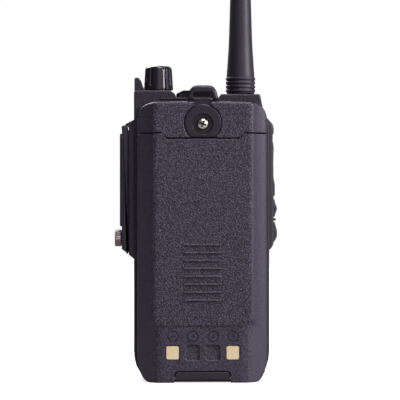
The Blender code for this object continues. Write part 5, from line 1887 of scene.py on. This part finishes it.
# ---------------------------------------------------------------- studio
@dataclass
class Studio:
    """A plain pale floor, a white surround, soft lights and the camera."""

    distance: float = 0.900
    turn: float = 1.5               # degrees from straight behind, towards +X
    rear_plane: float = 19.0 * MM
    aim: Point = (1.23 * MM, 80.5 * MM)
    frame_width: float = 176.0 * MM
    sensor: float = 36.0

    def world(self) -> None:
        """White to the camera, and a dimmer fill for everything else."""
        bpy.context.scene.world = bpy.data.worlds.new("surround")
        graph = Graph(bpy.context.scene.world)
        seen = graph.node("ShaderNodeBackground", {}, {"Color": (1.0, 1.0, 1.0), "Strength": 1.0})
        fill = graph.node("ShaderNodeBackground", {}, {"Color": (0.96, 0.97, 1.0), "Strength": 0.05})
        graph.end("ShaderNodeOutputWorld", graph.seen_or_not(seen, fill))

    def floor(self) -> None:
        """A wide pale disc under the object."""
        form = Form().turned([(2.5, -20 * MM), (2.5, -0.05 * MM)], (0.0, 0.0), Axis.Z, 64)
        graph = Graph(bpy.data.materials.new("pale_floor"))
        cloud = graph.noise(120 * MM, 3.0)
        tone = graph.mix(cloud, (0.80, 0.80, 0.81), (0.86, 0.86, 0.87))
        distance = graph.node("ShaderNodeVectorMath", {"operation": "LENGTH"}, {0: graph.place})[1]
        glow = graph.mix(distance.rise(0.10, 0.45), (0.62, 0.62, 0.63), (1.0, 1.0, 1.0))
        plain = graph.node("ShaderNodeBsdfPrincipled", {},
                           {"Base Color": (0.28, 0.28, 0.28), "Roughness": 0.85})
        lit = graph.node("ShaderNodeBsdfPrincipled", {}, {
            "Base Color": tone, "Roughness": 0.85, "Emission Color": glow, "Emission Strength": 1.0,
        })
        graph.end("ShaderNodeOutputMaterial", graph.seen_or_not(lit, plain))
        mesh = form.mesh("floor")
        mesh.materials.append(graph.holder)
        floor = bpy.data.objects.new("floor", mesh)
        bpy.context.scene.collection.objects.link(floor)
        floor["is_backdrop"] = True

    def light(self, name: str, place: Sequence[float], size: Point, power: float, colour: Colour) -> None:
        """A soft box that looks at the object.

        Args:
            name: Its name.
            place: Where it hangs.
            size: Its width and height.
            power: Its power in watts.
            colour: Its colour.
        """
        lamp = bpy.data.lights.new(name, "AREA")
        lamp.shape = "RECTANGLE"
        lamp.size, lamp.size_y = size
        lamp.energy = power
        lamp.color = colour
        holder = bpy.data.objects.new(name, lamp)
        holder.location = place
        holder.rotation_mode = "QUATERNION"
        holder.rotation_quaternion = (Vector((0.0, 0.0, 0.09)) - holder.location).to_track_quat("-Z", "Y")
        holder.visible_camera = False
        bpy.context.scene.collection.objects.link(holder)
        holder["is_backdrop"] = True

    def lights(self) -> None:
        """The key light, a wide soft card behind the camera, and light for the front and the top."""
        self.light("key", (-1.00, 0.50, 0.55), (0.35, 0.35), 13.0, (1.0, 0.985, 0.98))
        self.light("card", (-0.35, 1.60, 0.45), (1.10, 0.90), 2.6, (0.98, 0.97, 1.0))
        self.light("front", (0.40, -0.95, 0.95), (0.80, 0.80), 17.0, (1.0, 0.98, 1.0))
        self.light("top", (-0.12, 0.40, 1.10), (0.50, 0.50), 7.5, (1.0, 1.0, 1.0))

    def camera(self) -> None:
        """The camera, level, a little to the +X side of straight behind."""
        lens = bpy.data.cameras.new("camera")
        lens.sensor_width = self.sensor
        lens.lens = self.sensor * self.distance / self.frame_width
        lens.clip_start, lens.clip_end = 0.05, 20.0
        camera = bpy.data.objects.new("camera", lens)
        angle = math.radians(self.turn)
        back = Vector((math.sin(angle), math.cos(angle), 0.0))
        camera.location = Vector((self.aim[0], self.rear_plane, self.aim[1])) + back * self.distance
        camera.rotation_mode = "QUATERNION"
        camera.rotation_quaternion = (-back).to_track_quat("-Z", "Y")
        bpy.context.scene.collection.objects.link(camera)
        bpy.context.scene.camera = camera

    def build(self) -> None:
        """Sets the studio up."""
        bpy.context.scene.view_settings.view_transform = "Standard"
        self.world()
        self.floor()
        self.lights()
        self.camera()


def main() -> None:
    """Builds every sub-assembly, dresses what is left and sets the studio up."""
    logging.basicConfig(level=logging.INFO, format="%(name)s: %(message)s")
    assemblies: list[Assembly] = [
        FrontCase(), RearCover(), BatteryPack(), StrapLoop(), VolumeKnob(), Antenna(), TorchLens(),
        AccessoryPort(), SideKeys(), FrontPanel(), Interior(),
    ]
    for assembly in assemblies:
        for piece in assembly.build():
            log.info("%s: %s, %d faces", type(assembly).__name__, piece.name, len(piece.data.polygons))
    Studio().build()


if __name__ == "__main__":
    main()
